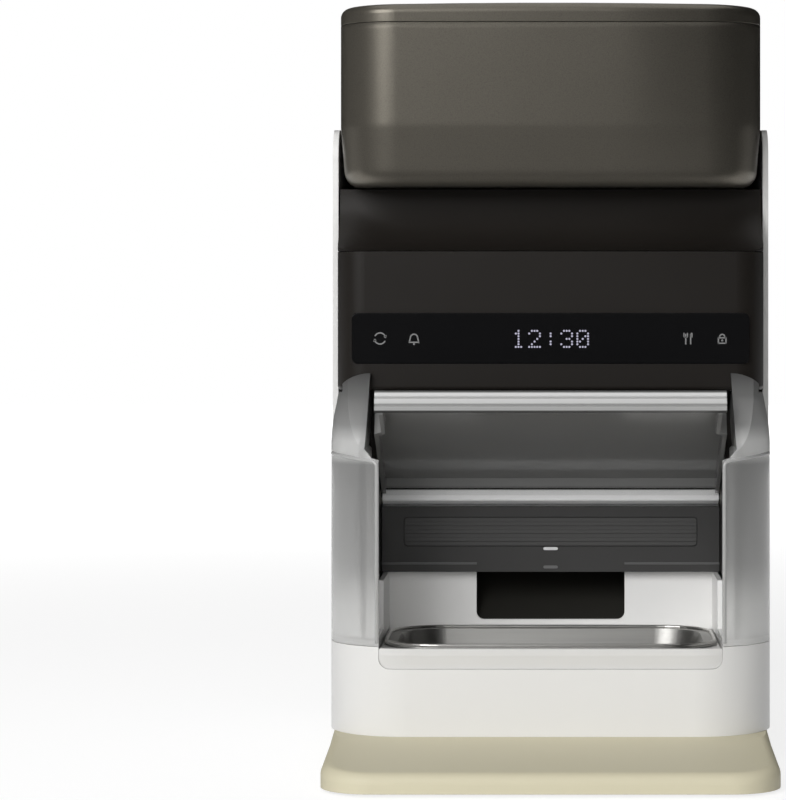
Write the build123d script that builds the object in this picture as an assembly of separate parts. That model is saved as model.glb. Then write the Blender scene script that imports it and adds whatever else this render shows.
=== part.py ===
from build123d import *
import math
import os

# Microchip pet feeder, one node per sub-part, in millimetres.
# X points right and Y points back as the feeder is seen from its front, Z points up.
# The origin is on the floor, under the middle of the footprint.

# ---- Driving dimensions --------------------------------------------------------------
BODY_WIDTH = 216.0
BODY_FRONT = -77.0
BODY_BACK = 145.0
FRONT_CORNER = 38.0
BACK_CORNER = 22.0
TOTAL_HEIGHT = 373.0
WALL = 2.8
GAP = 0.3

TRAY_FRONT = -145.0
TRAY_TOP = 18.0
TRAY_NOSE_TOP = 10.5
TRAY_UNDERSIDE = 1.5

SILL = 61.0
CHEEK_FRONT = -30.0
CHEEK_TOP = 313.0
REAR_SEAM = 118.0

BAY_HALF = 82.8
BAY_BACK = 23.0
BAY_TOP = 123.0

FASCIA_HALF = 104.4
FASCIA_FRONT = -60.0
FASCIA_CORNER = 14.0
FASCIA_BOTTOM = 184.0
FASCIA_TOP = 251.6
DECK_TOP = 283.0

TANK_HALF = 103.8
TANK_BACK = 141.0
TANK_FRONT_CORNER = 28.0
TANK_BACK_CORNER = 18.0
TANK_BOTTOM = 283.4
TANK_TOP = 363.2
TANK_WALL = 2.6

LID_AXIS_Y = 15.0
LID_AXIS_Z = 127.5
LID_OPEN_ANGLE = 25.2
LID_LENGTH = 113.0
LID_RISE = 10.5
LID_WIDE_HALF = 85.7
LID_WAIST_HALF = 82.3
LID_WAIST_START = 83.6
FRONT_RAIL_HALF = 84.3
FRAME_HALF = 86.6

ROTOR_Y = 78.0
DRUM_RADIUS = 49.5

# ---- Worked-out sizes ----------------------------------------------------------------
HALF = BODY_WIDTH / 2
INNER_HALF = HALF - WALL
FULL_TURN = 360.0


# ---- Shared shapes -------------------------------------------------------------------
def block(x_span, y_span, z_span):
    """Plain block between three pairs of limits."""
    size = [high - low for low, high in (x_span, y_span, z_span)]
    middle = [(high + low) / 2 for low, high in (x_span, y_span, z_span)]
    return Pos(*middle) * Box(*size)


def both_sides(shape):
    """A shape on the right and its mirror image on the left."""
    return [shape, mirror(shape, about=Plane.YZ)]


def plan(half_width, front, back, front_radius, back_radius):
    """Rounded rectangle seen from above, at Z = 0."""
    face = Pos(0, (front + back) / 2) * Rectangle(2 * half_width, back - front)
    if front_radius > 0:
        face = fillet(face.vertices().group_by(Axis.Y)[0], front_radius)
    if back_radius > 0:
        face = fillet(face.vertices().group_by(Axis.Y)[-1], back_radius)
    return face


def column(face, bottom, top):
    """Upright prism of a plan."""
    return Pos(0, 0, bottom) * extrude(face, amount=top - bottom, dir=(0, 0, 1))


def side_slab(outline, left, right):
    """Prism of a Y-Z outline, from X = left to X = right."""
    face = Plane.YZ.offset(left) * make_face(outline)
    return extrude(face, amount=right - left, dir=(1, 0, 0))


def front_slab(outline, front, back):
    """Prism of an X-Z outline, from Y = front to Y = back."""
    wall = Plane(origin=(0, front, 0), x_dir=(1, 0, 0), z_dir=(0, -1, 0))
    return extrude(wall * make_face(outline), amount=back - front, dir=(0, 1, 0))


def rod_x(radius, x_span, y, z):
    """Round bar along X."""
    length = x_span[1] - x_span[0]
    return Pos((x_span[0] + x_span[1]) / 2, y, z) * Rot(0, 90, 0) * Cylinder(radius, length)


def rod_y(radius, x, y_span, z):
    """Round bar along Y."""
    length = y_span[1] - y_span[0]
    return Pos(x, (y_span[0] + y_span[1]) / 2, z) * Rot(90, 0, 0) * Cylinder(radius, length)


def rod_z(radius, x, y, z_span):
    """Round bar along Z."""
    length = z_span[1] - z_span[0]
    return Pos(x, y, (z_span[0] + z_span[1]) / 2) * Cylinder(radius, length)


def gear_face(teeth, module, turned):
    """Outline of a spur gear with straight flanks; turned is in degrees."""
    pitch = FULL_TURN / teeth
    root = teeth * module / 2 - 1.25 * module
    mid = teeth * module / 2
    tip = teeth * module / 2 + 0.85 * module
    points = []
    for tooth in range(teeth):
        middle = turned + tooth * pitch
        for radius, share in ((root, -0.32), (mid, -0.22), (tip, -0.1), (tip, 0.1), (mid, 0.22), (root, 0.32)):
            angle = math.radians(middle + share * pitch)
            points.append((radius * math.cos(angle), radius * math.sin(angle)))
    return make_face(Polyline(*points, close=True))


def body_plan(inset):
    """Plan of the body, moved in by inset."""
    return plan(
        HALF - inset,
        BODY_FRONT + inset,
        BODY_BACK - inset,
        FRONT_CORNER - inset,
        BACK_CORNER - inset,
    )


def body_ring(bottom, top):
    """Upright wall that follows the body's plan."""
    return column(body_plan(0), bottom, top) - column(body_plan(WALL), bottom, top)


# ---- Foot ----------------------------------------------------------------------------
TRAY_BACK_HALF = 106.2
TRAY_FRONT_HALF = 107.7
TRAY_WALL = 3.0
TRAY_CORNER = 24.0
TRAY_NOSE_RADIUS = 5.5
TRAY_BACK = BODY_BACK - 1.5
FOOT_PLACES = [(x, y) for x in (-84, 84) for y in (-118, 0, 118)]
FOOT_RADIUS = 9.0
FOOT_BOSS_RADIUS = 11.5
TRAY_SCREW_PLACES = [(x, y) for x in (-90, 90) for y in (-38, 90)]
RIB_SPACING = 46.0
RIB_THICKNESS = 1.8


def tray_plan(inset):
    """Plan of the foot tray: it widens a little towards its front."""
    corners = [
        (-TRAY_FRONT_HALF + inset, TRAY_FRONT + inset),
        (TRAY_FRONT_HALF - inset, TRAY_FRONT + inset),
        (TRAY_BACK_HALF - inset, BODY_FRONT),
        (TRAY_BACK_HALF - inset, TRAY_BACK - inset),
        (-TRAY_BACK_HALF + inset, TRAY_BACK - inset),
        (-TRAY_BACK_HALF + inset, BODY_FRONT),
    ]
    face = make_face(Polyline(*corners, close=True))
    face = fillet(face.vertices().group_by(Axis.Y)[0], TRAY_CORNER - inset)
    return fillet(face.vertices().group_by(Axis.Y)[-1], BACK_CORNER - inset)


def tray_profile(drop, front_extra):
    """Side outline of the tray: level under the body, sloping down to its nose."""
    return Polyline(
        (TRAY_FRONT - front_extra, TRAY_UNDERSIDE - drop),
        (TRAY_FRONT - front_extra, TRAY_NOSE_TOP - drop),
        (BODY_FRONT, TRAY_TOP - drop),
        (TRAY_BACK + front_extra, TRAY_TOP - drop),
        (TRAY_BACK + front_extra, TRAY_UNDERSIDE - drop),
        close=True,
    )


def foot_tray():
    """Paw tray and plinth: a moulded shell with a rib grid and foot bosses below."""
    outside = column(tray_plan(0), TRAY_UNDERSIDE, TRAY_TOP)
    outside &= side_slab(tray_profile(0, 1), -HALF - 5, HALF + 5)
    nose = outside.edges().filter_by(GeomType.LINE).group_by(Axis.Y)[0].sort_by(Axis.Z)[-1]
    outside = fillet(nose, TRAY_NOSE_RADIUS)
    hollow = column(tray_plan(TRAY_WALL), TRAY_UNDERSIDE - 1, TRAY_TOP)
    hollow &= side_slab(tray_profile(TRAY_WALL, -TRAY_NOSE_RADIUS), -HALF, HALF)
    ribs = []
    for number in range(-2, 3):
        x = number * RIB_SPACING
        ribs.append(block((x, x + RIB_THICKNESS), (TRAY_FRONT, TRAY_BACK), (3.5, TRAY_TOP)))
    for number in range(-2, 3):
        y = number * RIB_SPACING
        ribs.append(block((-HALF, HALF), (y, y + RIB_THICKNESS), (3.5, TRAY_TOP)))
    for x, y in FOOT_PLACES:
        ribs.append(rod_z(FOOT_BOSS_RADIUS, x, y, (TRAY_UNDERSIDE, TRAY_TOP)))
    for x, y in TRAY_SCREW_PLACES:
        ribs.append(rod_z(6.0, x, y, (TRAY_UNDERSIDE + 2, TRAY_TOP)))
    for rib in ribs:
        hollow -= rib
    tray = outside - hollow
    for x, y in TRAY_SCREW_PLACES:
        tray -= rod_z(1.7, x, y, (0, TRAY_TOP + 1))
        tray -= rod_z(3.6, x, y, (0, 9.0))
    return tray


def rubber_feet():
    """Six round anti-slip pads under the tray's bosses."""
    return [rod_z(FOOT_RADIUS, x, y, (0, TRAY_UNDERSIDE)) for x, y in FOOT_PLACES]


def tray_screws():
    """Four pan-head screws that hold the tray to the base pan from below."""
    screws = []
    for x, y in TRAY_SCREW_PLACES:
        head = rod_z(3.0, x, y, (6.6, 9.0))
        shank = rod_z(1.5, x, y, (9.0, 24.0))
        screws.append(head + shank)
    return screws


# ---- White body ----------------------------------------------------------------------
PAN_THICKNESS = 2.5
REAR_SCREW_PLACES = [(x, z) for x in (-90, 90) for z in (40, 268)]
NOTCH_BOTTOM = 50.4
NOTCH_CORNER = 5.0
CHEEK_CORNER = 14.0


def base_pan():
    """Floor of the body, with a low rim and four screw posts."""
    inset = WALL + GAP
    pan = column(body_plan(inset), TRAY_TOP + 0.1, TRAY_TOP + PAN_THICKNESS)
    rim = column(body_plan(inset), TRAY_TOP + 0.1, TRAY_TOP + 8)
    rim -= column(body_plan(inset + 2), TRAY_TOP, TRAY_TOP + 9)
    pan += rim
    for x, y in TRAY_SCREW_PLACES:
        pan += rod_z(4.5, x, y, (TRAY_TOP + 0.1, 26.0)) - rod_z(1.5, x, y, (TRAY_TOP, 24.0))
        pan -= rod_z(1.5, x, y, (TRAY_TOP, 24.0))
    return pan


def body_shell():
    """White shell: the low front with its bowl notch, and two side cheeks."""
    shell = body_ring(TRAY_TOP, CHEEK_TOP)
    profile = FilletPolyline(
        (BODY_FRONT - 50, -40),
        (BODY_FRONT - 50, SILL),
        (CHEEK_FRONT, SILL),
        (CHEEK_FRONT, CHEEK_TOP),
        (BODY_BACK + 50, CHEEK_TOP),
        (BODY_BACK + 50, -40),
        radius=(0, 0, 0, CHEEK_CORNER, 0, 0),
        close=True,
    )
    shell &= side_slab(profile, -HALF - 1, HALF + 1)
    shell -= block((-HALF - 1, HALF + 1), (REAR_SEAM, BODY_BACK + 1), (0, CHEEK_TOP + 1))
    shelf = column(body_plan(WALL / 2), SILL - 3, SILL)
    shelf -= block((-BAY_HALF - GAP, BAY_HALF + GAP), (-100, 160), (0, 100))
    shelf -= block((-HALF, HALF), (CHEEK_FRONT, 160), (0, 100))
    shell += shelf
    notch = FilletPolyline(
        (-BAY_HALF, 90), (-BAY_HALF, NOTCH_BOTTOM), (BAY_HALF, NOTCH_BOTTOM), (BAY_HALF, 90),
        radius=NOTCH_CORNER,
        close=True,
    )
    shell -= front_slab(notch, BODY_FRONT - 1, BODY_FRONT + WALL + 4)
    for x, z in REAR_SCREW_PLACES:
        web_x = sorted((x, math.copysign(INNER_HALF + 1, x)))
        shell += block(web_x, (100, REAR_SEAM), (z - 1.2, z + 1.2))
        shell += rod_y(5.0, x, (100, REAR_SEAM), z)
        shell -= rod_y(1.5, x, (104, REAR_SEAM + 1), z)
    return shell


BATTERY_HALF = 56.0
BATTERY_DOOR_BOTTOM = 62.0
BATTERY_DOOR_TOP = 132.0
DOOR_HINGE_RADIUS = 1.4
INLET_X = 66.0
INLET_Z = 36.0


def rear_cover():
    """White back shell with screw posts, the battery opening and the inlet hole."""
    cover = body_ring(TRAY_TOP, CHEEK_TOP)
    cover &= block((-HALF - 1, HALF + 1), (REAR_SEAM + GAP, BODY_BACK + 1), (0, CHEEK_TOP + 1))
    cover -= block(
        (-BATTERY_HALF - 0.4, BATTERY_HALF + 0.4),
        (BODY_BACK - WALL - 1, BODY_BACK + 1),
        (BATTERY_DOOR_BOTTOM - DOOR_HINGE_RADIUS - 0.4, BATTERY_DOOR_TOP + 0.4),
    )
    hinge_y = BODY_BACK - DOOR_HINGE_RADIUS
    for side in (-1, 1):
        ear_low, ear_high = sorted((side * (BATTERY_HALF + 0.4), side * (BATTERY_HALF + 4.4)))
        cover += block(
            (ear_low, ear_high),
            (BODY_BACK - WALL - 2, BODY_BACK - WALL + 0.5),
            (BATTERY_DOOR_BOTTOM - 4, BATTERY_DOOR_BOTTOM + 4),
        )
        hole_low, hole_high = sorted((side * BATTERY_HALF, side * (BATTERY_HALF + 3.0)))
        cover -= rod_x(0.95, (hole_low, hole_high), hinge_y, BATTERY_DOOR_BOTTOM)
    inlet = Pos(INLET_X, BODY_BACK, INLET_Z) * Rot(90, 0, 0)
    cover -= inlet * extrude(SlotOverall(11.0, 5.4), amount=WALL + 1, both=True)
    for x, z in REAR_SCREW_PLACES:
        cover += rod_y(5.0, x, (REAR_SEAM + GAP, BODY_BACK - WALL + 0.5), z)
        cover -= rod_y(1.7, x, (REAR_SEAM, BODY_BACK + 1), z)
        cover -= rod_y(3.5, x, (130.0, BODY_BACK + 1), z)
    return cover


def rear_screws():
    """Four pan-head screws, deep in the rear cover's posts."""
    screws = []
    for x, z in REAR_SCREW_PLACES:
        screws.append(rod_y(3.0, x, (127.6, 130.0), z) + rod_y(1.4, x, (105, 127.6), z))
    return [Pos(0, 2.4, 0) * screw for screw in screws]


# ---- Side guards ---------------------------------------------------------------------
GUARD_WALL = 2.6
GUARD_FLOOR = 3.6
GUARD_TOP = 192.5
GUARD_SHOULDER_LOW = 150.8
GUARD_SHOULDER_HIGH = 156.0
GUARD_INNER = 88.6
GUARD_UPPER_INNER = 89.9
GUARD_TOP_INNER = 87.4
GUARD_FIN_BACK = FASCIA_FRONT - 0.8
GUARD_FIN_FRONT = GUARD_FIN_BACK - 3.4
GUARD_BACK = CHEEK_FRONT - GAP
GUARD_LEDGE = FASCIA_BOTTOM - 0.8


def guard_form():
    """The right guard as one solid: a rounded block that sweeps back to a thin fin on top."""
    form = column(body_plan(0), SILL + GAP, GUARD_TOP)
    front_view = Polyline(
        (HALF + 1, GUARD_SHOULDER_LOW - 4),
        (HALF + 1, SILL),
        (BAY_HALF, SILL),
        (BAY_HALF, GUARD_SHOULDER_LOW),
        (BAY_HALF + 3.5, GUARD_SHOULDER_LOW + 1),
        (GUARD_UPPER_INNER, GUARD_SHOULDER_HIGH),
        (GUARD_TOP_INNER, GUARD_TOP),
    )
    crown = Spline(
        (GUARD_TOP_INNER, GUARD_TOP),
        (95.5, 190.9),
        (101.6, 186.6),
        (104.0, 179.5),
        (HALF + 1, GUARD_SHOULDER_LOW - 4),
        tangents=((1, 0), (0.1, -1)),
    )
    form &= front_slab(Wire([*front_view.edges(), crown.edge()]), BODY_FRONT - 1, GUARD_BACK)
    side_view = Polyline(
        (BODY_FRONT - 5, GUARD_SHOULDER_LOW - 0.4),
        (BODY_FRONT - 5, SILL - 1),
        (GUARD_BACK, SILL - 1),
        (GUARD_BACK, GUARD_LEDGE),
        (GUARD_FIN_BACK, GUARD_LEDGE),
        (GUARD_FIN_BACK, GUARD_TOP + 1),
        (GUARD_FIN_FRONT, GUARD_TOP + 1),
    )
    sweep = Spline(
        (GUARD_FIN_FRONT, GUARD_TOP + 1),
        (GUARD_FIN_FRONT - 1.2, 170.0),
        (GUARD_FIN_FRONT - 5.8, 156.8),
        (BODY_FRONT - 5, GUARD_SHOULDER_LOW - 0.4),
        tangents=((0, -1), (-1, -0.1)),
    )
    return form & side_slab(Wire([*side_view.edges(), sweep.edge()]), BAY_HALF - 1, HALF + 1)


def guard_hollow():
    """Space inside the right guard, open to the back."""
    hollow = column(body_plan(GUARD_WALL), SILL + GAP + GUARD_FLOOR, GUARD_TOP)
    front_view = Polyline(
        (HALF, SILL),
        (GUARD_INNER + GUARD_WALL, SILL),
        (GUARD_UPPER_INNER + GUARD_WALL, GUARD_SHOULDER_HIGH),
        (GUARD_TOP_INNER + GUARD_WALL + 0.8, GUARD_LEDGE - GUARD_WALL),
        (98.5, GUARD_LEDGE - GUARD_WALL),
        (101.8, 174.0),
        (104.4, 160.0),
        (HALF, GUARD_SHOULDER_LOW - 6),
        close=True,
    )
    hollow &= front_slab(front_view, BODY_FRONT, GUARD_BACK + 1)
    side_view = Polyline(
        (BODY_FRONT, SILL),
        (GUARD_BACK + 1, SILL),
        (GUARD_BACK + 1, GUARD_LEDGE - GUARD_WALL),
        (GUARD_FIN_FRONT + 2.8, GUARD_LEDGE - GUARD_WALL),
        (GUARD_FIN_FRONT + 1.8, 169.0),
        (GUARD_FIN_FRONT - 3.2, 154.6),
        (BODY_FRONT, GUARD_SHOULDER_LOW - 3),
        close=True,
    )
    return hollow & side_slab(side_view, BAY_HALF, HALF)


def guard_recess():
    """Room for the lid's edge behind the guard's front lip."""
    recess = column(body_plan(GUARD_WALL), SILL + GAP + GUARD_FLOOR, GUARD_SHOULDER_HIGH + 2)
    return recess & block((BAY_HALF - 1, GUARD_INNER), (BODY_FRONT, GUARD_BACK + 1), (SILL, GUARD_TOP))


def guard_side():
    """Clear guard beside the bowl, with a lip along its inner front edge."""
    return guard_form() - guard_hollow() - guard_recess()


# ---- Bowl bay ------------------------------------------------------------------------
LINER_WALL = 2.5
CHUTE_HALF = 38.0
CHUTE_MOUTH_BOTTOM = 64.0
CHUTE_MOUTH_TOP = 91.0
WELL_HALF = 79.0
WELL_FRONT = -70.5
WELL_BACK = 12.4
WELL_CORNER = 24.0
WELL_BOTTOM = 22.0
CRADLE_BOTTOM = 57.0
CRADLE_TOP = 59.2
LINER_SIDE_TOP = 88.9
STRIP_TOP = 60.3
STRIP_FOLD = 57.0
STRIP_RECESS = 1.2
STRIP_SEAM = 0.1


def bay_liner():
    """White back and side walls round the bowl, with the food mouth cut through."""
    back = BAY_BACK + LINER_WALL
    half = FRAME_HALF - GAP
    liner = block((-half, half), (BAY_BACK, back), (TRAY_TOP + PAN_THICKNESS + 0.2, BAY_TOP))
    mouth = FilletPolyline(
        (-CHUTE_HALF, CHUTE_MOUTH_TOP + 3),
        (-CHUTE_HALF, CHUTE_MOUTH_BOTTOM),
        (CHUTE_HALF, CHUTE_MOUTH_BOTTOM),
        (CHUTE_HALF, CHUTE_MOUTH_TOP + 3),
        radius=4.0,
        close=True,
    )
    liner -= front_slab(mouth, BAY_BACK - 1, back + 1)
    flange_y = (CHEEK_FRONT, CHEEK_FRONT + LINER_WALL)
    for sign in (-1, 1):
        wall_x = sorted((sign * BAY_HALF, sign * (BAY_HALF + LINER_WALL)))
        flange_x = sorted((sign * BAY_HALF, sign * (INNER_HALF - GAP)))
        liner += block(wall_x, (CHEEK_FRONT, back), (SILL - 1, LINER_SIDE_TOP))
        liner += block(flange_x, flange_y, (SILL + 0.2, LINER_SIDE_TOP))
    return liner


def bowl_cradle():
    """White well that the bowl drops into, with the strip that fills the body's notch."""
    cradle = column(body_plan(1.0), CRADLE_BOTTOM, CRADLE_TOP)
    cradle &= block((-BAY_HALF + GAP, BAY_HALF - GAP), (BODY_FRONT, BAY_BACK - GAP), (CRADLE_BOTTOM, CRADLE_TOP))
    outer = column(plan(WELL_HALF, WELL_FRONT, WELL_BACK, WELL_CORNER, WELL_CORNER), WELL_BOTTOM, CRADLE_TOP)
    inner = column(
        plan(WELL_HALF - 1.8, WELL_FRONT + 1.8, WELL_BACK - 1.8, WELL_CORNER - 1.8, WELL_CORNER - 1.8),
        WELL_BOTTOM + 1.8,
        70.0,
    )
    half = BAY_HALF - STRIP_SEAM
    bottom = NOTCH_BOTTOM + STRIP_SEAM
    lower_corner = NOTCH_CORNER - STRIP_SEAM
    strip = FilletPolyline(
        (-half, STRIP_TOP),
        (-half, bottom),
        (half, bottom),
        (half, STRIP_TOP),
        radius=(0.8, lower_corner, lower_corner, 0.8),
        close=True,
    )
    front = column(body_plan(0), STRIP_FOLD, SILL)
    front += loft([Pos(0, 0, NOTCH_BOTTOM) * body_plan(STRIP_RECESS), Pos(0, 0, STRIP_FOLD) * body_plan(0)])
    front -= column(body_plan(LINER_WALL + STRIP_RECESS), NOTCH_BOTTOM - 1, SILL + 1)
    front &= front_slab(strip, BODY_FRONT - 1, BODY_FRONT + 8)
    return cradle + front + outer - inner


BOWL_RIM_HALF = 81.4
BOWL_RIM_FRONT = -73.0
BOWL_RIM_BACK = 14.6
BOWL_RIM_CORNER = 27.0
BOWL_RIM_TOP = 60.9
BOWL_MOUTH_INSET = 5.5
BOWL_BASE_INSET = 16.0
BOWL_BOTTOM = 27.0
STEEL = 1.0


def bowl_level(inset, level):
    """Plan of the bowl at one height."""
    face = plan(
        BOWL_RIM_HALF - inset,
        BOWL_RIM_FRONT + inset,
        BOWL_RIM_BACK - inset,
        BOWL_RIM_CORNER - inset * 0.8,
        BOWL_RIM_CORNER - inset * 0.8,
    )
    return Pos(0, 0, level) * face


def bowl():
    """Pressed steel bowl with a flat rim and a turned-down edge."""
    mouth = BOWL_MOUTH_INSET
    outer = loft([bowl_level(BOWL_BASE_INSET, BOWL_BOTTOM), bowl_level(mouth, BOWL_RIM_TOP - STEEL)])
    base = outer.faces().sort_by(Axis.Z)[0]
    outer = fillet(base.edges(), 6.0)
    inner = loft(
        [
            bowl_level(BOWL_BASE_INSET + STEEL, BOWL_BOTTOM + STEEL),
            bowl_level(mouth + STEEL, BOWL_RIM_TOP + 0.01),
        ]
    )
    inner = fillet(inner.faces().sort_by(Axis.Z)[0].edges(), 5.2)
    rim = column(bowl_level(0, 0), BOWL_RIM_TOP - STEEL, BOWL_RIM_TOP)
    rim = fillet(rim.faces().sort_by(Axis.Z)[-1].edges(), 0.8)
    return outer + rim - inner


SENSOR_FRONT = 16.0
SENSOR_BOTTOM = 89.0
SENSOR_TOP = 122.3
WINDOW_HALF = 75.0
WINDOW_BOTTOM = 102.0
WINDOW_TOP = 117.0


def sensor_bar():
    """Dark cover on the bay's back wall with a long shallow window pocket."""
    half = FRAME_HALF - GAP
    bar = block((-half, half), (SENSOR_FRONT, BAY_BACK - 0.1), (SENSOR_BOTTOM, SENSOR_TOP))
    bar -= block((-half + 2, half - 2), (SENSOR_FRONT + 3.5, BAY_BACK), (SENSOR_BOTTOM + 2, SENSOR_TOP - 2))
    pocket = FilletPolyline(
        (-WINDOW_HALF, WINDOW_BOTTOM),
        (WINDOW_HALF, WINDOW_BOTTOM),
        (WINDOW_HALF, WINDOW_TOP),
        (-WINDOW_HALF, WINDOW_TOP),
        radius=2.0,
        close=True,
    )
    return bar - front_slab(pocket, SENSOR_FRONT - 1, SENSOR_FRONT + 1.8)


def sensor_window():
    """Ribbed lens that lies in the sensor cover's pocket."""
    half = WINDOW_HALF - GAP
    outline = FilletPolyline(
        (-half, WINDOW_BOTTOM + GAP),
        (half, WINDOW_BOTTOM + GAP),
        (half, WINDOW_TOP - GAP),
        (-half, WINDOW_TOP - GAP),
        radius=2.0,
        close=True,
    )
    lens = front_slab(outline, SENSOR_FRONT + 0.9, SENSOR_FRONT + 1.8)
    for level in (WINDOW_BOTTOM + 3.5, WINDOW_BOTTOM + 7.5, WINDOW_BOTTOM + 11.5):
        lens += block((-half, half), (SENSOR_FRONT + 0.3, SENSOR_FRONT + 1.5), (level - 0.9, level + 0.9))
    return lens


def rfid_antenna():
    """Flat rectangular coil that reads the collar tag or implanted chip."""
    y_span = (SENSOR_FRONT + 4.0, SENSOR_FRONT + 5.6)
    coil = block((-78, 78), y_span, (SENSOR_BOTTOM + 3, SENSOR_TOP - 3))
    return coil - block((-74, 74), (SENSOR_FRONT, BAY_BACK), (SENSOR_BOTTOM + 7, SENSOR_TOP - 7))


# ---- Dark frame over the bay, with the lid's drive -----------------------------------
CEILING_BACK = 152.0
FRAME_BOTTOM = LINER_SIDE_TOP + GAP
GEAR_MODULE = 1.0
LID_GEAR_TEETH = 36
LID_PINION_TEETH = 12
LID_DRIVE_CENTRES = GEAR_MODULE * (LID_GEAR_TEETH + LID_PINION_TEETH) / 2
LID_MOTOR_Y = LID_AXIS_Y + LID_DRIVE_CENTRES
PIN_RADIUS = 2.0
BUSH_RADIUS = 4.0
BUSH_BORE = 2.06
BUSH_END = FRAME_HALF + 4.0
PIN_SEAT = 16.0
LID_GEAR_START = BUSH_END + 3.0
LID_GEAR_END = LID_GEAR_START + 6.0


def lid_frame():
    """Dark frame: sloping ceiling, side walls with the hinge holes, motor tab."""
    front = FASCIA_FRONT + WALL + GAP
    back = BAY_BACK + LINER_WALL
    ceiling = Polyline(
        (front, FASCIA_BOTTOM + 3.0),
        (front, FASCIA_BOTTOM + 0.4),
        (BAY_BACK, CEILING_BACK),
        (BAY_BACK, BAY_TOP + 0.2),
        (back, BAY_TOP + 0.2),
        (back, CEILING_BACK + 1.5),
        close=True,
    )
    frame = side_slab(ceiling, -FRAME_HALF - 0.5, FRAME_HALF + 0.5)
    wall = Polyline(
        (CHEEK_FRONT, FRAME_BOTTOM),
        (30.0, FRAME_BOTTOM),
        (60.0, 103.0),
        (60.0, CEILING_BACK),
        (BAY_BACK, CEILING_BACK),
        (CHEEK_FRONT, 174.0),
        close=True,
    )
    wall_shape = side_slab(wall, FRAME_HALF, FRAME_HALF + LINER_WALL)
    drop_y = (CHEEK_FRONT, CHEEK_FRONT + LINER_WALL)
    drop = block((FRAME_HALF, INNER_HALF - GAP), drop_y, (FRAME_BOTTOM, FASCIA_BOTTOM - 0.6))
    for part in (wall_shape, drop):
        for half in both_sides(part):
            frame += half
    frame -= rod_x(BUSH_RADIUS + 0.01, (-HALF, HALF), LID_AXIS_Y, LID_AXIS_Z)
    frame -= rod_x(4.0, (50, HALF), LID_MOTOR_Y, LID_AXIS_Z)
    return frame


def hinge_bushes():
    """Two flanged bushes pressed into the frame's side walls."""
    ring = rod_x(BUSH_RADIUS, (FRAME_HALF, BUSH_END), LID_AXIS_Y, LID_AXIS_Z)
    ring += rod_x(BUSH_RADIUS + 1.5, (FRAME_HALF + LINER_WALL, BUSH_END), LID_AXIS_Y, LID_AXIS_Z)
    ring -= rod_x(BUSH_BORE, (FRAME_HALF - 1, HALF), LID_AXIS_Y, LID_AXIS_Z)
    return both_sides(ring)


LID_WAIST_STEP = 3.0
LID_SKIRT = 2.0
LID_PANEL = 2.4
FRONT_RAIL_DEPTH = 4.5
REAR_RAIL_SIZE = 6.2


# The lid is drawn level and pointing forwards from its axis, then turned to its open rest.
def lid_at_rest(shape):
    """Move a lid piece from its level drawing place to the open rest position."""
    return Pos(0, LID_AXIS_Y, LID_AXIS_Z) * Rot(-LID_OPEN_ANGLE, 0, 0) * shape


def lid_plan(inset, ends):
    """Plan of the lid: wide behind the guards' lips, drawn in where it passes them."""
    wide, waist = LID_WIDE_HALF - inset, LID_WAIST_HALF - inset
    front, back = -LID_LENGTH + FRONT_RAIL_DEPTH - ends, -REAR_RAIL_SIZE / 2 - 0.1 - ends
    start = -LID_WAIST_START + inset
    points = [(wide, back), (wide, start), (waist, start - LID_WAIST_STEP), (waist, front)]
    mirrored = [(-x, y) for x, y in reversed(points)]
    return make_face(Polyline(*points, *mirrored, close=True))


def bowl_lid():
    """Tinted clear lid: a top plate with skirts along its sides and rear, open below and in front."""
    shell = column(lid_plan(0, 0), -0.5, LID_RISE)
    return lid_at_rest(shell - column(lid_plan(LID_SKIRT, LID_SKIRT), -2.0, LID_RISE - LID_PANEL))


def lid_front_rail():
    """Clear grip along the lid's front edge, with three long flutes."""
    front = -LID_LENGTH
    outline = Polyline(
        (front + 4.4, LID_RISE),
        (front + 1.0, LID_RISE),
        (front + 0.1, LID_RISE - 1.0),
        (front + 0.1, LID_RISE - 3.2),
        (front + 1.1, LID_RISE - 3.8),
        (front + 0.2, LID_RISE - 4.6),
        (front + 0.2, LID_RISE - 7.2),
        (front + 1.4, LID_RISE - 7.8),
        (front + 0.8, LID_RISE - 8.6),
        (front + 1.6, 0.2),
        (front + 4.4, 0.2),
        close=True,
    )
    return lid_at_rest(side_slab(outline, -FRONT_RAIL_HALF, FRONT_RAIL_HALF))


def lid_rear_rail():
    """Pale hinge rail along the lid's back, bored at both ends for the pins."""
    side = REAR_RAIL_SIZE / 2
    outline = FilletPolyline((-side, -side), (side, -side), (side, side), (-side, side), radius=1.2, close=True)
    half = LID_WIDE_HALF
    rail = side_slab(outline, -half, half)
    for x_span in ((-half - 1, -half + PIN_SEAT), (half - PIN_SEAT, half + 1)):
        rail -= rod_x(PIN_RADIUS, x_span, 0, 0)
    return lid_at_rest(rail)


def lid_hinge_pins():
    """Two steel pins; the right one is longer and carries the lid gear."""
    right = rod_x(PIN_RADIUS, (LID_WIDE_HALF - PIN_SEAT, LID_GEAR_END + 1.2), 0, 0)
    left = rod_x(PIN_RADIUS, (-BUSH_END - 1.7, -LID_WIDE_HALF + PIN_SEAT), 0, 0)
    return [lid_at_rest(right), lid_at_rest(left)]


def gear_along_x(teeth, turned, x_span, bore):
    """Spur gear on an X axis through the origin; turned is measured from +Y to +Z."""
    gear = Plane.YZ.offset(x_span[0]) * gear_face(teeth, GEAR_MODULE, turned)
    solid = extrude(gear, amount=x_span[1] - x_span[0], dir=(1, 0, 0))
    return solid - rod_x(bore, (x_span[0] - 1, x_span[1] + 1), 0, 0)


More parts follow.
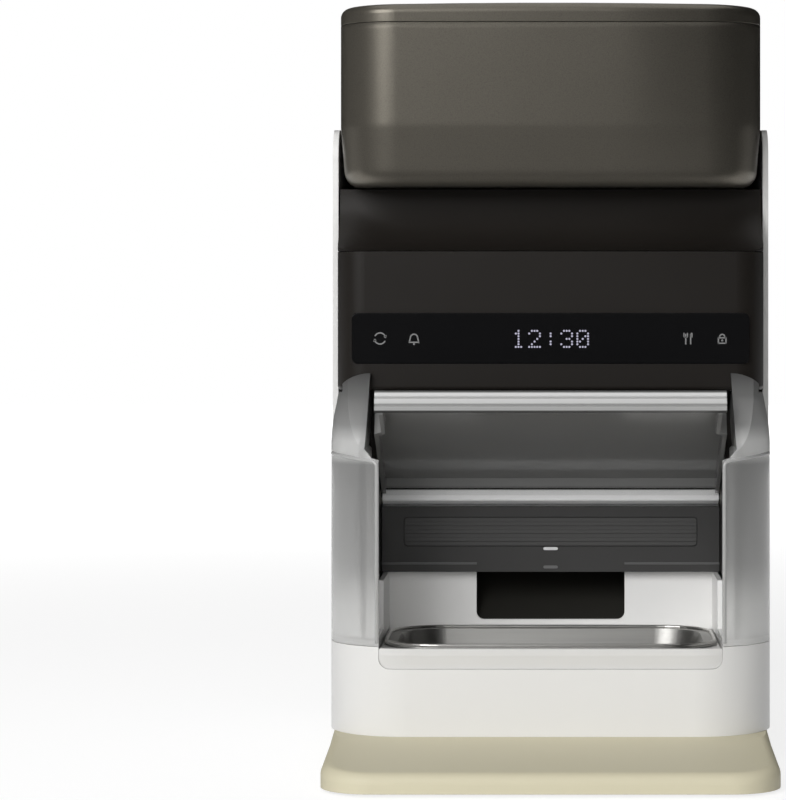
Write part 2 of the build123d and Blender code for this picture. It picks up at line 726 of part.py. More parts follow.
def lid_gear():
    """Driven gear on the right hinge pin, with a tooth facing the pinion at rest."""
    gear = gear_along_x(LID_GEAR_TEETH, 0, (LID_GEAR_START, LID_GEAR_END), PIN_RADIUS)
    unused = Polyline((-30, -30), (0, -30), (-8, 0), (0, 30), (-30, 30), close=True)
    gear -= side_slab(unused, LID_GEAR_START - 1, LID_GEAR_END + 1)
    hub = rod_x(6.0, (LID_GEAR_START, LID_GEAR_END + 1.2), 0, 0)
    hub -= rod_x(PIN_RADIUS, (LID_GEAR_START - 1, HALF), 0, 0)
    return Pos(0, LID_AXIS_Y, LID_AXIS_Z) * (gear + hub)


MOTOR_SHAFT_RADIUS = 2.0


def lid_pinion():
    """Pinion and output shaft of the lid motor."""
    turned = 180.0 + 180.0 / LID_PINION_TEETH
    pinion = gear_along_x(LID_PINION_TEETH, turned, (LID_GEAR_START - 0.4, LID_GEAR_END + 0.6), 0.5)
    shaft = rod_x(MOTOR_SHAFT_RADIUS, (FRAME_HALF - 8.2, LID_GEAR_END + 2.2), 0, 0)
    return Pos(0, LID_MOTOR_Y, LID_AXIS_Z) * (pinion + shaft)


def lid_motor():
    """Geared motor of the lid: can, gearbox and nose."""
    can = rod_x(9.0, (47.0, 69.0), LID_MOTOR_Y, LID_AXIS_Z)
    can = fillet(can.edges().sort_by(Axis.X)[0], 1.5)
    gearbox = rod_x(10.5, (69.0, FRAME_HALF - 0.1), LID_MOTOR_Y, LID_AXIS_Z)
    cap = rod_x(3.0, (45.0, 47.0), LID_MOTOR_Y, LID_AXIS_Z)
    socket = rod_x(MOTOR_SHAFT_RADIUS + 0.05, (FRAME_HALF - 8.5, HALF), LID_MOTOR_Y, LID_AXIS_Z)
    return can + gearbox + cap - socket


# ---- Dark front ----------------------------------------------------------------------
DISPLAY_HALF = 96.8
DISPLAY_BOTTOM = 196.9
DISPLAY_TOP = 221.7
DISPLAY_CORNER = 3.0
DISPLAY_DEPTH = 1.2


def fascia_plan(inset, back):
    """Plan of the dark front between the cheeks, moved in by inset."""
    return plan(FASCIA_HALF - inset, FASCIA_FRONT + inset, back, FASCIA_CORNER - inset, 0)


def display_outline(inset):
    """Rounded outline of the display, moved in by inset."""
    return FilletPolyline(
        (-DISPLAY_HALF + inset, DISPLAY_BOTTOM + inset),
        (DISPLAY_HALF - inset, DISPLAY_BOTTOM + inset),
        (DISPLAY_HALF - inset, DISPLAY_TOP - inset),
        (-DISPLAY_HALF + inset, DISPLAY_TOP - inset),
        radius=DISPLAY_CORNER - inset,
        close=True,
    )


def front_fascia():
    """Dark control fascia with the display's pocket and a turned-in lower edge."""
    back = CHEEK_FRONT + WALL
    fascia = column(fascia_plan(0, back), FASCIA_BOTTOM, FASCIA_TOP)
    lower = fascia.faces().sort_by(Axis.Z)[0].edges().group_by(Axis.Y)[0]
    fascia = fillet(lower, 2.0)
    fascia -= column(fascia_plan(WALL, back + 1), FASCIA_BOTTOM + 3.4, FASCIA_TOP + 1)
    side = FRAME_HALF + LINER_WALL + GAP
    fascia -= block((-side, side), (FASCIA_FRONT + WALL, back + 1), (FASCIA_BOTTOM - 1, FASCIA_BOTTOM + 4))
    fascia -= front_slab(display_outline(0), FASCIA_FRONT - 1, FASCIA_FRONT + DISPLAY_DEPTH)
    for x in (-30, 30):
        fascia -= block((x - 3, x + 3), (FASCIA_FRONT, FASCIA_FRONT + WALL + 1), (205, 214))
    return fascia


def neck_cover():
    """Dark scooped panel in the shadow under the hopper."""
    back = CHEEK_FRONT + WALL
    bottom = FASCIA_TOP + 0.4
    top = DECK_TOP - 0.2
    radius = top - bottom
    neck = column(fascia_plan(0, back), bottom, top)
    neck -= rod_x(radius, (-HALF, HALF), FASCIA_FRONT - 0.6, top)
    neck -= block((-HALF, HALF), (FASCIA_FRONT - 1, CHEEK_FRONT - 2), (top - 0.5, top + 1))
    inside = column(fascia_plan(WALL, back + 1), bottom - 1, top - 3)
    inside -= rod_x(radius + WALL, (-HALF, HALF), FASCIA_FRONT - 0.6, top)
    return neck - inside


def display_window():
    """Black glossy lens over the digits and the touch keys."""
    return front_slab(display_outline(0.15), FASCIA_FRONT - 0.2, FASCIA_FRONT + DISPLAY_DEPTH)


def display_board():
    """Circuit board of the display with its digit block and four key pads."""
    board_front = FASCIA_FRONT + WALL + 1.6
    board = block((-92, 92), (board_front, board_front + 1.6), (194, 226))
    board += block((-26, 26), (board_front - 1.5, board_front), (201, 218))
    for x in (-83, -67, 67, 83):
        board += rod_y(4.5, x, (board_front - 1.2, board_front), 209)
    return board


# ---- Dispenser -----------------------------------------------------------------------
DRUM_WALL = 2.5
DRUM_FLOOR = 236.0
DECK_THICKNESS = 3.0
SPIGOT_RADIUS = 46.5
OUTLET_INNER = 21.0
OUTLET_OUTER = 46.0
OUTLET_HALF_ANGLE = 46.0
ROTOR_VANES = 6
ROTOR_RADIUS = 48.6
ROTOR_MODULE = 0.8
ROTOR_GEAR_TEETH = 36
ROTOR_PINION_TEETH = 12
ROTOR_DRIVE_CENTRES = ROTOR_MODULE * (ROTOR_GEAR_TEETH + ROTOR_PINION_TEETH) / 2
ROTOR_MOTOR_Y = ROTOR_Y + ROTOR_DRIVE_CENTRES
SHAFT_RADIUS = 3.0


def dispenser_housing():
    """Deck under the hopper with the open drum of the metering wheel."""
    deck_bottom = DECK_TOP - DECK_THICKNESS
    front = CHEEK_FRONT + WALL + GAP
    back = BODY_BACK - WALL - GAP
    deck = column(plan(INNER_HALF - GAP, front, back, 2, BACK_CORNER - WALL - GAP), deck_bottom, DECK_TOP)
    deck += rod_z(DRUM_RADIUS + DRUM_WALL, 0, ROTOR_Y, (DRUM_FLOOR + DRUM_WALL, deck_bottom))
    return deck - rod_z(DRUM_RADIUS, 0, ROTOR_Y, (DRUM_FLOOR, DECK_TOP + 1))


def drum_base():
    """Floor of the drum, with the outlet in its front half and the bearing's seat."""
    base = rod_z(DRUM_RADIUS + DRUM_WALL, 0, ROTOR_Y, (DRUM_FLOOR, DRUM_FLOOR + DRUM_WALL - 0.05))
    reach = 80.0
    across = reach * math.sin(math.radians(OUTLET_HALF_ANGLE))
    ahead = reach * math.cos(math.radians(OUTLET_HALF_ANGLE))
    sector = make_face(Polyline((0, 0), (-across, -ahead), (across, -ahead), close=True))
    wedge = Pos(0, ROTOR_Y, DRUM_FLOOR - 1) * extrude(sector, amount=6, dir=(0, 0, 1))
    ring = rod_z(OUTLET_OUTER, 0, ROTOR_Y, (DRUM_FLOOR - 1, DRUM_FLOOR + 4))
    ring -= rod_z(OUTLET_INNER, 0, ROTOR_Y, (DRUM_FLOOR - 2, DRUM_FLOOR + 5))
    return base - (ring & wedge) - rod_z(6.0, 0, ROTOR_Y, (DRUM_FLOOR - 1, DRUM_FLOOR + 4))


def drum_bush():
    """Flanged bush that carries the rotor shaft in the drum's floor."""
    bush = rod_z(6.0, 0, ROTOR_Y, (DRUM_FLOOR - 1.5, DRUM_FLOOR + DRUM_WALL))
    bush += rod_z(8.0, 0, ROTOR_Y, (DRUM_FLOOR - 1.5, DRUM_FLOOR))
    return bush - rod_z(SHAFT_RADIUS + 0.06, 0, ROTOR_Y, (DRUM_FLOOR - 3, DRUM_FLOOR + 5))


def rotor():
    """Metering wheel with six vanes round a domed hub."""
    low = DRUM_FLOOR + DRUM_WALL + 0.8
    high = DECK_TOP - 8.0
    wheel = rod_z(11.0, 0, ROTOR_Y, (low, high + 4))
    wheel = fillet(wheel.edges().sort_by(Axis.Z)[-1], 4.0)
    vane = block((10.0, ROTOR_RADIUS), (-1.3, 1.3), (low, high))
    vane = fillet(vane.edges().filter_by(Axis.Z).group_by(Axis.X)[-1], 0.8)
    for number in range(ROTOR_VANES):
        wheel += Pos(0, ROTOR_Y, 0) * Rot(0, 0, number * FULL_TURN / ROTOR_VANES) * vane
    return wheel - rod_z(SHAFT_RADIUS, 0, ROTOR_Y, (low - 1, high - 4))


def rotor_shaft():
    """Steel shaft from the rotor gear up into the metering wheel."""
    return rod_z(SHAFT_RADIUS, 0, ROTOR_Y, (224.0, DECK_TOP - 13.0))


def stirrer():
    """Two-armed stirrer on the rotor's hub that keeps kibble moving in the throat."""
    base = DECK_TOP - 4.0
    post = rod_z(5.0, 0, ROTOR_Y, (base, base + 26))
    post = fillet(post.edges().sort_by(Axis.Z)[-1], 2.5)
    for side, level in ((-1, base + 12), (1, base + 20)):
        arm = block(sorted((side * 3, side * 30)), (-2, 2), (level - 2, level + 2))
        post += Pos(0, ROTOR_Y, 0) * Rot(0, 0, 18) * arm
    return post


def gear_along_z(teeth, turned, z_span, bore):
    """Spur gear on a Z axis; turned is measured from +X towards +Y."""
    gear = Pos(0, 0, z_span[0]) * gear_face(teeth, ROTOR_MODULE, turned)
    solid = extrude(gear, amount=z_span[1] - z_span[0], dir=(0, 0, 1))
    return solid - rod_z(bore, 0, 0, (z_span[0] - 1, z_span[1] + 1))


def rotor_gear():
    """Driven gear on the rotor shaft, with a tooth facing the pinion at rest."""
    return Pos(0, ROTOR_Y, 0) * gear_along_z(ROTOR_GEAR_TEETH, 90, (226.0, 231.5), SHAFT_RADIUS)


def rotor_pinion():
    """Pinion and output shaft of the dispenser motor."""
    turned = 270.0 + 180.0 / ROTOR_PINION_TEETH
    pinion = gear_along_z(ROTOR_PINION_TEETH, turned, (225.6, 232.0), 0.5)
    shaft = rod_z(MOTOR_SHAFT_RADIUS, 0, 0, (214.3, 233.0))
    return Pos(0, ROTOR_MOTOR_Y, 0) * (pinion + shaft)


def gearbox_cover():
    """Cup under the drum that closes the rotor gears in and carries the motor."""
    cup = rod_z(18.0, 0, ROTOR_Y, (221.0, DRUM_FLOOR)) + rod_z(12.0, 0, ROTOR_MOTOR_Y, (221.0, DRUM_FLOOR))
    hollow = rod_z(16.2, 0, ROTOR_Y, (223.0, DRUM_FLOOR + 1)) + rod_z(10.0, 0, ROTOR_MOTOR_Y, (223.0, DRUM_FLOOR + 1))
    return cup - hollow - rod_z(3.4, 0, ROTOR_MOTOR_Y, (220.0, 224.0))


def dispenser_motor():
    """Geared motor of the dispenser, hanging under the gearbox."""
    gearbox = rod_z(12.5, 0, ROTOR_MOTOR_Y, (203.0, 220.9))
    can = rod_z(11.0, 0, ROTOR_MOTOR_Y, (172.0, 203.0))
    can = fillet(can.edges().sort_by(Axis.Z)[0], 1.5)
    socket = rod_z(MOTOR_SHAFT_RADIUS + 0.05, 0, ROTOR_MOTOR_Y, (214.0, 222.0))
    return gearbox + can + rod_z(3.5, 0, ROTOR_MOTOR_Y, (169.5, 172.0)) - socket


def chute():
    """Black duct from the drum's outlet down to the mouth behind the bowl."""
    top = DRUM_FLOOR - 0.1
    mouth = BAY_BACK + LINER_WALL + 0.1
    front, back = 30.0, 57.4
    outer = Polyline(
        (front - 2, top),
        (back + 2, top),
        (back + 2, 90.2),
        (mouth, CHUTE_MOUTH_BOTTOM - 2.2),
        (mouth, CHUTE_MOUTH_TOP + 2.0),
        (front - 2, CHUTE_MOUTH_TOP + 2.0),
        close=True,
    )
    inner = Polyline(
        (front, top + 1),
        (back, top + 1),
        (back, 91.2),
        (mouth - 1, CHUTE_MOUTH_BOTTOM - 0.6),
        (mouth - 1, CHUTE_MOUTH_TOP),
        (front, CHUTE_MOUTH_TOP),
        close=True,
    )
    return side_slab(outer, -CHUTE_HALF - 2, CHUTE_HALF + 2) - side_slab(inner, -CHUTE_HALF, CHUTE_HALF)


# ---- Hopper --------------------------------------------------------------------------
TANK_FOOT_TAPER = 2.4
FUNNEL_TOP = 334.0
FUNNEL_WALL = 2.0
TANK_BOTTOM_RADIUS = 8.0


def tank_plan(inset, level):
    """Plan of the hopper at one height, moved in by inset."""
    face = plan(
        TANK_HALF - inset,
        FASCIA_FRONT + inset,
        TANK_BACK - inset,
        TANK_FRONT_CORNER - inset,
        TANK_BACK_CORNER - inset,
    )
    return Pos(0, 0, level) * face


def tank_form(inset, bottom, top):
    """Hopper outside or inside: straight above the cheeks, drawn in below them."""
    upper = extrude(tank_plan(inset, CHEEK_TOP), amount=top - CHEEK_TOP, dir=(0, 0, 1))
    lower = loft([tank_plan(inset + TANK_FOOT_TAPER, bottom), tank_plan(inset, CHEEK_TOP)])
    lower = fillet(lower.faces().sort_by(Axis.Z)[0].edges(), TANK_BOTTOM_RADIUS - inset)
    return upper + lower


def hopper_tank():
    """Dark food tank with an open top and a round outlet in its floor."""
    tank = tank_form(0, TANK_BOTTOM, TANK_TOP) - tank_form(TANK_WALL, TANK_BOTTOM + TANK_WALL, TANK_TOP + 1)
    return tank - rod_z(SPIGOT_RADIUS + GAP, 0, ROTOR_Y, (TANK_BOTTOM - 1, TANK_BOTTOM + 5))


def hopper_funnel():
    """Sloping liner that leads the food to the outlet and its short spigot."""
    rim_inset = TANK_WALL + GAP
    throat = TANK_BOTTOM + 6.0
    outer = loft([Pos(0, ROTOR_Y, throat) * Circle(SPIGOT_RADIUS), tank_plan(rim_inset, FUNNEL_TOP)])
    inner = loft(
        [
            Pos(0, ROTOR_Y, throat) * Circle(SPIGOT_RADIUS - FUNNEL_WALL),
            tank_plan(rim_inset + FUNNEL_WALL, FUNNEL_TOP),
        ]
    )
    spigot = rod_z(SPIGOT_RADIUS, 0, ROTOR_Y, (TANK_BOTTOM - 5.0, throat))
    bore = rod_z(SPIGOT_RADIUS - FUNNEL_WALL, 0, ROTOR_Y, (TANK_BOTTOM - 6.0, throat))
    return outer + spigot - inner - bore


LID_SKIRT_INSET = TANK_WALL + 1.2
LID_PLATE = 2.8
LID_CROWN_RADIUS = 4200.0


def hopper_lid():
    """Flat lift-off lid with a rolled top edge and a skirt that sits in the tank."""
    bottom = TANK_TOP + GAP
    lid = extrude(tank_plan(0, bottom), amount=TOTAL_HEIGHT - bottom, dir=(0, 0, 1))
    lid &= rod_y(LID_CROWN_RADIUS, 0, (FASCIA_FRONT - 1, TANK_BACK + 1), TOTAL_HEIGHT - LID_CROWN_RADIUS)
    lid = fillet(lid.faces().sort_by(Axis.Z)[-1].edges(), 4.5)
    lid -= extrude(tank_plan(LID_PLATE + 2, bottom - 1), amount=TOTAL_HEIGHT - LID_PLATE - bottom + 1, dir=(0, 0, 1))
    skirt_bottom = bottom - 9.0
    skirt_height = TOTAL_HEIGHT - LID_PLATE - skirt_bottom
    skirt = extrude(tank_plan(LID_SKIRT_INSET, skirt_bottom), amount=skirt_height, dir=(0, 0, 1))
    skirt -= extrude(tank_plan(LID_SKIRT_INSET + 2, skirt_bottom - 1), amount=skirt_height + 1, dir=(0, 0, 1))
    groove = extrude(tank_plan(0, skirt_bottom + 2.5), amount=3.2, dir=(0, 0, 1))
    groove -= extrude(tank_plan(LID_SKIRT_INSET + 0.9, skirt_bottom + 2), amount=5, dir=(0, 0, 1))
    lid += skirt
    return lid - groove


def hopper_seal():
    """Silicone ring in the groove of the lid's skirt."""
    level = TANK_TOP + GAP - 9.0 + 2.7
    ring = extrude(tank_plan(TANK_WALL + 0.3, level), amount=2.8, dir=(0, 0, 1))
    return ring - extrude(tank_plan(LID_SKIRT_INSET + 0.8, level - 1), amount=5, dir=(0, 0, 1))


DESICCANT_TOP = TOTAL_HEIGHT - LID_PLATE
DESICCANT_BOTTOM = 352.5


def desiccant_box():
    """Tray for a drying sachet under the hopper lid."""
    box = column(plan(38, 12, 68, 6, 6), DESICCANT_BOTTOM + 1.8, DESICCANT_TOP)
    return box - column(plan(36.4, 13.6, 66.4, 4.4, 4.4), DESICCANT_BOTTOM, DESICCANT_TOP - 1.6)


def desiccant_cover():
    """Slotted snap-on cover of the desiccant box."""
    cover = column(plan(38, 12, 68, 6, 6), DESICCANT_BOTTOM, DESICCANT_BOTTOM + 1.7)
    for number in range(-3, 4):
        x = number * 9.0
        cover -= block((x - 1.5, x + 1.5), (24, 56), (DESICCANT_BOTTOM - 1, DESICCANT_BOTTOM + 3))
    return cover


# ---- Power and electronics -----------------------------------------------------------
BATTERY_BOX_FRONT = 106.0


def battery_box():
    """Compartment for the three backup cells, open to the back."""
    y_span = (BATTERY_BOX_FRONT, BODY_BACK - WALL - 0.2)
    box = block((-BATTERY_HALF - 4, BATTERY_HALF + 4), y_span, (60.5 - 2.2, BATTERY_DOOR_TOP + 2))
    box -= block((-53, 53), (y_span[0] + 2, y_span[1] + 1), (62.0, 130.0))
    for side in (-1, 1):
        ear = sorted((side * (BATTERY_HALF - 1), side * (BATTERY_HALF + 5)))
        box -= block(ear, (y_span[1] - 3, y_span[1] + 1), (BATTERY_DOOR_BOTTOM - 6, BATTERY_DOOR_BOTTOM + 6))
    for x in (-17.7, 17.7):
        box += block((x - 0.8, x + 0.8), (y_span[0] + 1, y_span[0] + 12), (61.0, 131.0))
    return box


def battery_contacts():
    """Folded spring strips at the foot and flat plates at the head of each cell."""
    contacts = []
    for x in (-35.3, 0.0, 35.3):
        contacts.append(block((x - 8, x + 8), (114, 134), (129.4, 129.9)))
        spring = Polyline(
            (114, 62.1), (134, 62.1), (134, 62.6), (122, 62.6), (131, 66.0), (130.8, 66.5), (117, 62.6), (114, 62.6),
            close=True,
        )
        contacts.append(side_slab(spring, x - 4, x + 4))
    return contacts


def battery_cover():
    """Door over the cells, turning on two small pegs along its lower edge."""
    hinge_y = BODY_BACK - DOOR_HINGE_RADIUS
    inside = BODY_BACK - 2 * DOOR_HINGE_RADIUS
    door = block((-BATTERY_HALF, BATTERY_HALF), (inside, BODY_BACK), (BATTERY_DOOR_BOTTOM, BATTERY_DOOR_TOP))
    door += rod_x(DOOR_HINGE_RADIUS, (-BATTERY_HALF, BATTERY_HALF), hinge_y, BATTERY_DOOR_BOTTOM)
    door += rod_x(0.85, (-BATTERY_HALF - 2.4, BATTERY_HALF + 2.4), hinge_y, BATTERY_DOOR_BOTTOM)
    grip = SlotOverall(26.0, 7.0)
    door -= Pos(0, BODY_BACK, BATTERY_DOOR_TOP - 9) * Rot(90, 0, 0) * extrude(grip, amount=1.2, both=True)
    return door


def power_inlet():
    """Small oval power socket on the back, with its contact tongue."""
    seat = Pos(INLET_X, 0, INLET_Z)
    body = block((-7, 7), (128.0, 141.9), (-4.5, 4.5))
    throat = Pos(0, 141.9, 0) * Rot(90, 0, 0) * extrude(SlotOverall(8.94, 3.2), amount=7.5)
    tongue = block((-3.3, 3.3), (134.0, 140.5), (-0.35, 0.35))
    collar = Pos(0, 141.9, 0) * Rot(90, 0, 0) * extrude(SlotOverall(10.4, 4.8), amount=-2.0)
    collar -= Pos(0, 144.9, 0) * Rot(90, 0, 0) * extrude(SlotOverall(8.94, 3.2), amount=4.0)
    return seat * (body - throat + tongue + collar)


def main_board():
    """Control board on the base pan, with its larger components."""
    board = block((-66, 50), (40, 120), (34.0, 35.6))
    parts = [
        block((-50, -24), (52, 78), (35.6, 38.8)),
        block((-10, 10), (86, 110), (35.6, 44.0)),
        block((20, 44), (48, 58), (35.6, 45.0)),
        block((-60, -40), (96, 114), (35.6, 40.0)),
    ]
    for part in parts:
        board += part
    for x, y in ((-60, 46), (44, 66), (-34, 114), (30, 114)):
        board += rod_z(3.5, x, y, (TRAY_TOP + PAN_THICKNESS + 0.1, 34.0))
    return board


# ---- Write every node ----------------------------------------------------------------
NODES = {
    "foot_tray": foot_tray,
    "rubber_feet": rubber_feet,
    "tray_screws": tray_screws,
    "base_pan": base_pan,
    "body_shell": body_shell,
    "rear_cover": rear_cover,
    "rear_screws": rear_screws,
    "bay_liner": bay_liner,
    "bowl_cradle": bowl_cradle,
    "bowl": bowl,
    "sensor_bar": sensor_bar,
    "sensor_window": sensor_window,
    "rfid_antenna": rfid_antenna,
    "lid_frame": lid_frame,
    "hinge_bushes": hinge_bushes,
    "bowl_lid": bowl_lid,
    "lid_front_rail": lid_front_rail,
    "lid_rear_rail": lid_rear_rail,
    "lid_hinge_pins": lid_hinge_pins,
    "lid_gear": lid_gear,
    "lid_pinion": lid_pinion,
    "lid_motor": lid_motor,
    "front_fascia": front_fascia,
    "neck_cover": neck_cover,
    "display_window": display_window,
    "display_board": display_board,
    "dispenser_housing": dispenser_housing,
    "drum_base": drum_base,
    "drum_bush": drum_bush,
    "rotor": rotor,
    "rotor_shaft": rotor_shaft,
    "stirrer": stirrer,
    "rotor_gear": rotor_gear,
    "rotor_pinion": rotor_pinion,
    "gearbox_cover": gearbox_cover,
    "dispenser_motor": dispenser_motor,
    "chute": chute,
    "hopper_tank": hopper_tank,
    "hopper_funnel": hopper_funnel,
    "hopper_lid": hopper_lid,
    "hopper_seal": hopper_seal,
    "desiccant_box": desiccant_box,
    "desiccant_cover": desiccant_cover,
    "battery_box": battery_box,
    "battery_contacts": battery_contacts,
    "battery_cover": battery_cover,
    "power_inlet": power_inlet,
    "main_board": main_board,
}


def write_node(name, shape):
    """Export one node; a list of like solids is written as one group."""
    if isinstance(shape, list):
        shape = Compound(children=shape)
    export_step(shape, f"parts/{name}.step")


os.makedirs("parts", exist_ok=True)
for node_name, make_node in NODES.items():
    write_node(node_name, make_node())
right_guard, left_guard = both_sides(guard_side())
write_node("guard_right", right_guard)
write_node("guard_left", left_guard)
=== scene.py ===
import math

import bmesh
import bpy
from mathutils import Matrix, Vector


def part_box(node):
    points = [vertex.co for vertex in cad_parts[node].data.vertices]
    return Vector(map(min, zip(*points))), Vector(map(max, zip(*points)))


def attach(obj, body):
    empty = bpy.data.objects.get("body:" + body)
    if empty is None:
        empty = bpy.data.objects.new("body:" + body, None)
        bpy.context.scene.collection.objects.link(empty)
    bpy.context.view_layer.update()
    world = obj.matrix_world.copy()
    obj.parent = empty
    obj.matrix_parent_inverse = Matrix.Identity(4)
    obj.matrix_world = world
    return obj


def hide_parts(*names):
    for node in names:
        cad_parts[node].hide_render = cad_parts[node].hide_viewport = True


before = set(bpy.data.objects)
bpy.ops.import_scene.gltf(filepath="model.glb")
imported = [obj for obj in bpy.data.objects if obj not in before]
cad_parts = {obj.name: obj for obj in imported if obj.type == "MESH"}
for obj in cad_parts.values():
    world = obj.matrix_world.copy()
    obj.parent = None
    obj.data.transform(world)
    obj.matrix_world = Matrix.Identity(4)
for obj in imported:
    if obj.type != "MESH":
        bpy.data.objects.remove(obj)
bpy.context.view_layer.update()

bl_info = {
    "name": "Pet Feeder Finishes",
    "version": (1, 0, 0),
    "blender": (4, 5, 0),
    "location": "View3D > Sidebar > Feeder",
    "description": "Surfaces, display, printed symbols, screws and studio of a microchip pet feeder",
    "category": "Object",
}

# ---- Places taken from the frame -------------------------------------------------------------
MM = 0.001
LENS_LOW, LENS_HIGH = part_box("display_window")
SENSOR_LOW, SENSOR_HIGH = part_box("sensor_bar")
REAR_SCREW_LOW, REAR_SCREW_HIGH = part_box("rear_screws")
TRAY_SCREW_LOW, TRAY_SCREW_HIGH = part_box("tray_screws")
GUARD_LOW, GUARD_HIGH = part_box("guard_right")
BOWL_LOW, BOWL_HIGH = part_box("bowl")
RAIL_LOW, RAIL_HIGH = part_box("lid_front_rail")
PIN_LOW, PIN_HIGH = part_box("lid_hinge_pins")


# ---- Shader building blocks ------------------------------------------------------------------
class Value:
    """A shader socket that takes part in Python expressions."""

    def __init__(self, recipe, socket):
        self.recipe = recipe
        self.socket = socket

    def combined(self, operation, first, second):
        """Math node of two values, either of which may be a plain number."""
        return self.recipe.node("ShaderNodeMath", {"operation": operation}, {0: first, 1: second})

    def __add__(self, other):
        return self.combined("ADD", self, other)

    def __sub__(self, other):
        return self.combined("SUBTRACT", self, other)

    def __rsub__(self, other):
        return self.combined("SUBTRACT", other, self)

    def __mul__(self, other):
        return self.combined("MULTIPLY", self, other)

    __radd__ = __add__
    __rmul__ = __mul__


class Recipe:
    """A node tree that is written through one method."""

    def __init__(self, tree):
        self.tree = tree

    def node(self, kind, settings=None, inputs=None, output=0):
        """Add a node: its settings first, then the numbers or links of its sockets."""
        made = self.tree.nodes.new(kind)
        for key, value in (settings or {}).items():
            if key == "stops":
                self.put_stops(made.color_ramp.elements, value)
            else:
                setattr(made, key, value)
        for key, value in (inputs or {}).items():
            self.join(value, made.inputs[key])
        return Value(self, made.outputs[output])

    @staticmethod
    def put_stops(elements, stops):
        """Lay a ramp's stops, each a place in 0..1 and a shade of grey, from left to right."""
        for number, (spot, shade) in enumerate(stops):
            element = elements[number] if number < 2 else elements.new(spot)
            element.position = spot
            element.color = (shade, shade, shade, 1.0)

    def join(self, value, socket):
        """Link a value to a socket, or set the socket's own number."""
        if isinstance(value, Value):
            self.tree.links.new(value.socket, socket)
        else:
            socket.default_value = value

    def seen_directly(self):
        """1 for what the camera, a reflection or a clear part sees, 0 for what only lights a surface."""
        hidden = 1.0
        for ray in ("Is Camera Ray", "Is Glossy Ray", "Is Transmission Ray"):
            hidden = (1.0 - self.node("ShaderNodeLightPath", output=ray)) * hidden
        return 1.0 - hidden


class Finish(Recipe):
    """One material, built node by node round a Principled shader."""

    def __init__(self, name, **constants):
        self.material = bpy.data.materials.new(name)
        self.material.use_nodes = True
        super().__init__(self.material.node_tree)
        self.shader = self.tree.nodes["Principled BSDF"]
        self.place = self.node("ShaderNodeTexCoord", output="Object")
        for key, value in constants.items():
            self.shader.inputs[key.replace("_", " ").title().replace("Ior", "IOR")].default_value = value

    def stretched(self, scale):
        """Object coordinates scaled apart along X, Y and Z."""
        return self.node("ShaderNodeMapping", {}, {"Vector": self.place, "Scale": scale})

    def noise(self, scale, detail=2.0, roughness=0.5, vector=None):
        """Noise over the piece; scale is in waves per metre."""
        inputs = {"Vector": vector or self.place, "Scale": scale, "Detail": detail, "Roughness": roughness}
        return self.node("ShaderNodeTexNoise", {}, inputs)

    def spots(self, scale):
        """Distance to the nearest of many scattered points."""
        return self.node("ShaderNodeTexVoronoi", {}, {"Vector": self.place, "Scale": scale})

    def spread(self, value, low, high):
        """Map 0..1 to low..high."""
        return low + (high - low) * value

    def along(self, direction, start, end):
        """Share from 0 to 1 of the way from start to end, both in metres along a direction."""
        inputs = {0: self.place, 1: direction}
        distance = self.node("ShaderNodeVectorMath", {"operation": "DOT_PRODUCT"}, inputs, output="Value")
        return self.node("ShaderNodeMapRange", {}, {"Value": distance, "From Min": start, "From Max": end})

    def shaded(self, share, stops, colour):
        """A colour made lighter and darker along a ramp of greys."""
        grey = self.node("ShaderNodeValToRGB", {"stops": stops}, {"Fac": share})
        inputs = {"Factor": 1.0, 6: grey, 7: rgba(colour)}
        return self.node("ShaderNodeMix", {"data_type": "RGBA", "blend_type": "MULTIPLY"}, inputs, output=2)

    def blend(self, share, first, second):
        """Mix two colours by a share."""
        inputs = {"Factor": share, 6: rgba(first), 7: rgba(second)}
        return self.node("ShaderNodeMix", {"data_type": "RGBA"}, inputs, output=2)

    def bump(self, height, distance, edge=None):
        """Bump normal from a height in 0..1 worth distance metres, on softened edges if edge is given."""
        inputs = {"Height": height, "Distance": distance, "Strength": 1.0}
        if edge:
            inputs["Normal"] = self.node("ShaderNodeBevel", {"samples": 4}, {"Radius": edge})
        return self.node("ShaderNodeBump", {}, inputs)

    def feed(self, socket, value):
        """Link a varying value to the shader."""
        self.join(value, self.shader.inputs[socket])

    def wrap(self, low, high, height, distance, edge=None):
        """The usual ending: roughness that wanders from low to high, and a fine bump."""
        self.feed("Roughness", self.spread(self.noise(28.0, 3.0), low, high))
        self.feed("Normal", self.bump(height, distance, edge))
        return self.material


def rgba(colour):
    """A colour for a socket: triples get an alpha of 1."""
    return (*colour[:3], 1.0)


def toned(colour, share):
    """A colour made lighter or darker, up to white."""
    return [min(1.0, part * share) for part in colour[:3]]


def tinted(finish, colour, change=0.06, scale=9.0):
    """Slow, slight change of a base colour over the piece."""
    dark, light = toned(colour, 1 - change), toned(colour, 1 + change)
    finish.feed("Base Color", finish.blend(finish.noise(scale, 2.0), dark, light))


# ---- Finishes --------------------------------------------------------------------------------
# How far a finish softens the edges of its piece.
SOFT_EDGE = 0.45 * MM
LENS_EDGE = 0.3 * MM
TANK_EDGE = 4.5 * MM

# Grain of moulded and printed surfaces, in waves per metre.
FINE_GRAIN = 2600.0
# How far roughness wanders to both sides.
WANDER = 0.05


def moulded_plastic(
    name, colour, rough, grain=0.02 * MM, grain_scale=FINE_GRAIN, edge=SOFT_EDGE, **constants
):
    """Moulded plastic with a fine spark-eroded grain and softened edges."""
    finish = Finish(name, **constants)
    tinted(finish, colour, 0.03)
    return finish.wrap(rough - WANDER, rough + WANDER, finish.noise(grain_scale, 1.0), grain, edge)


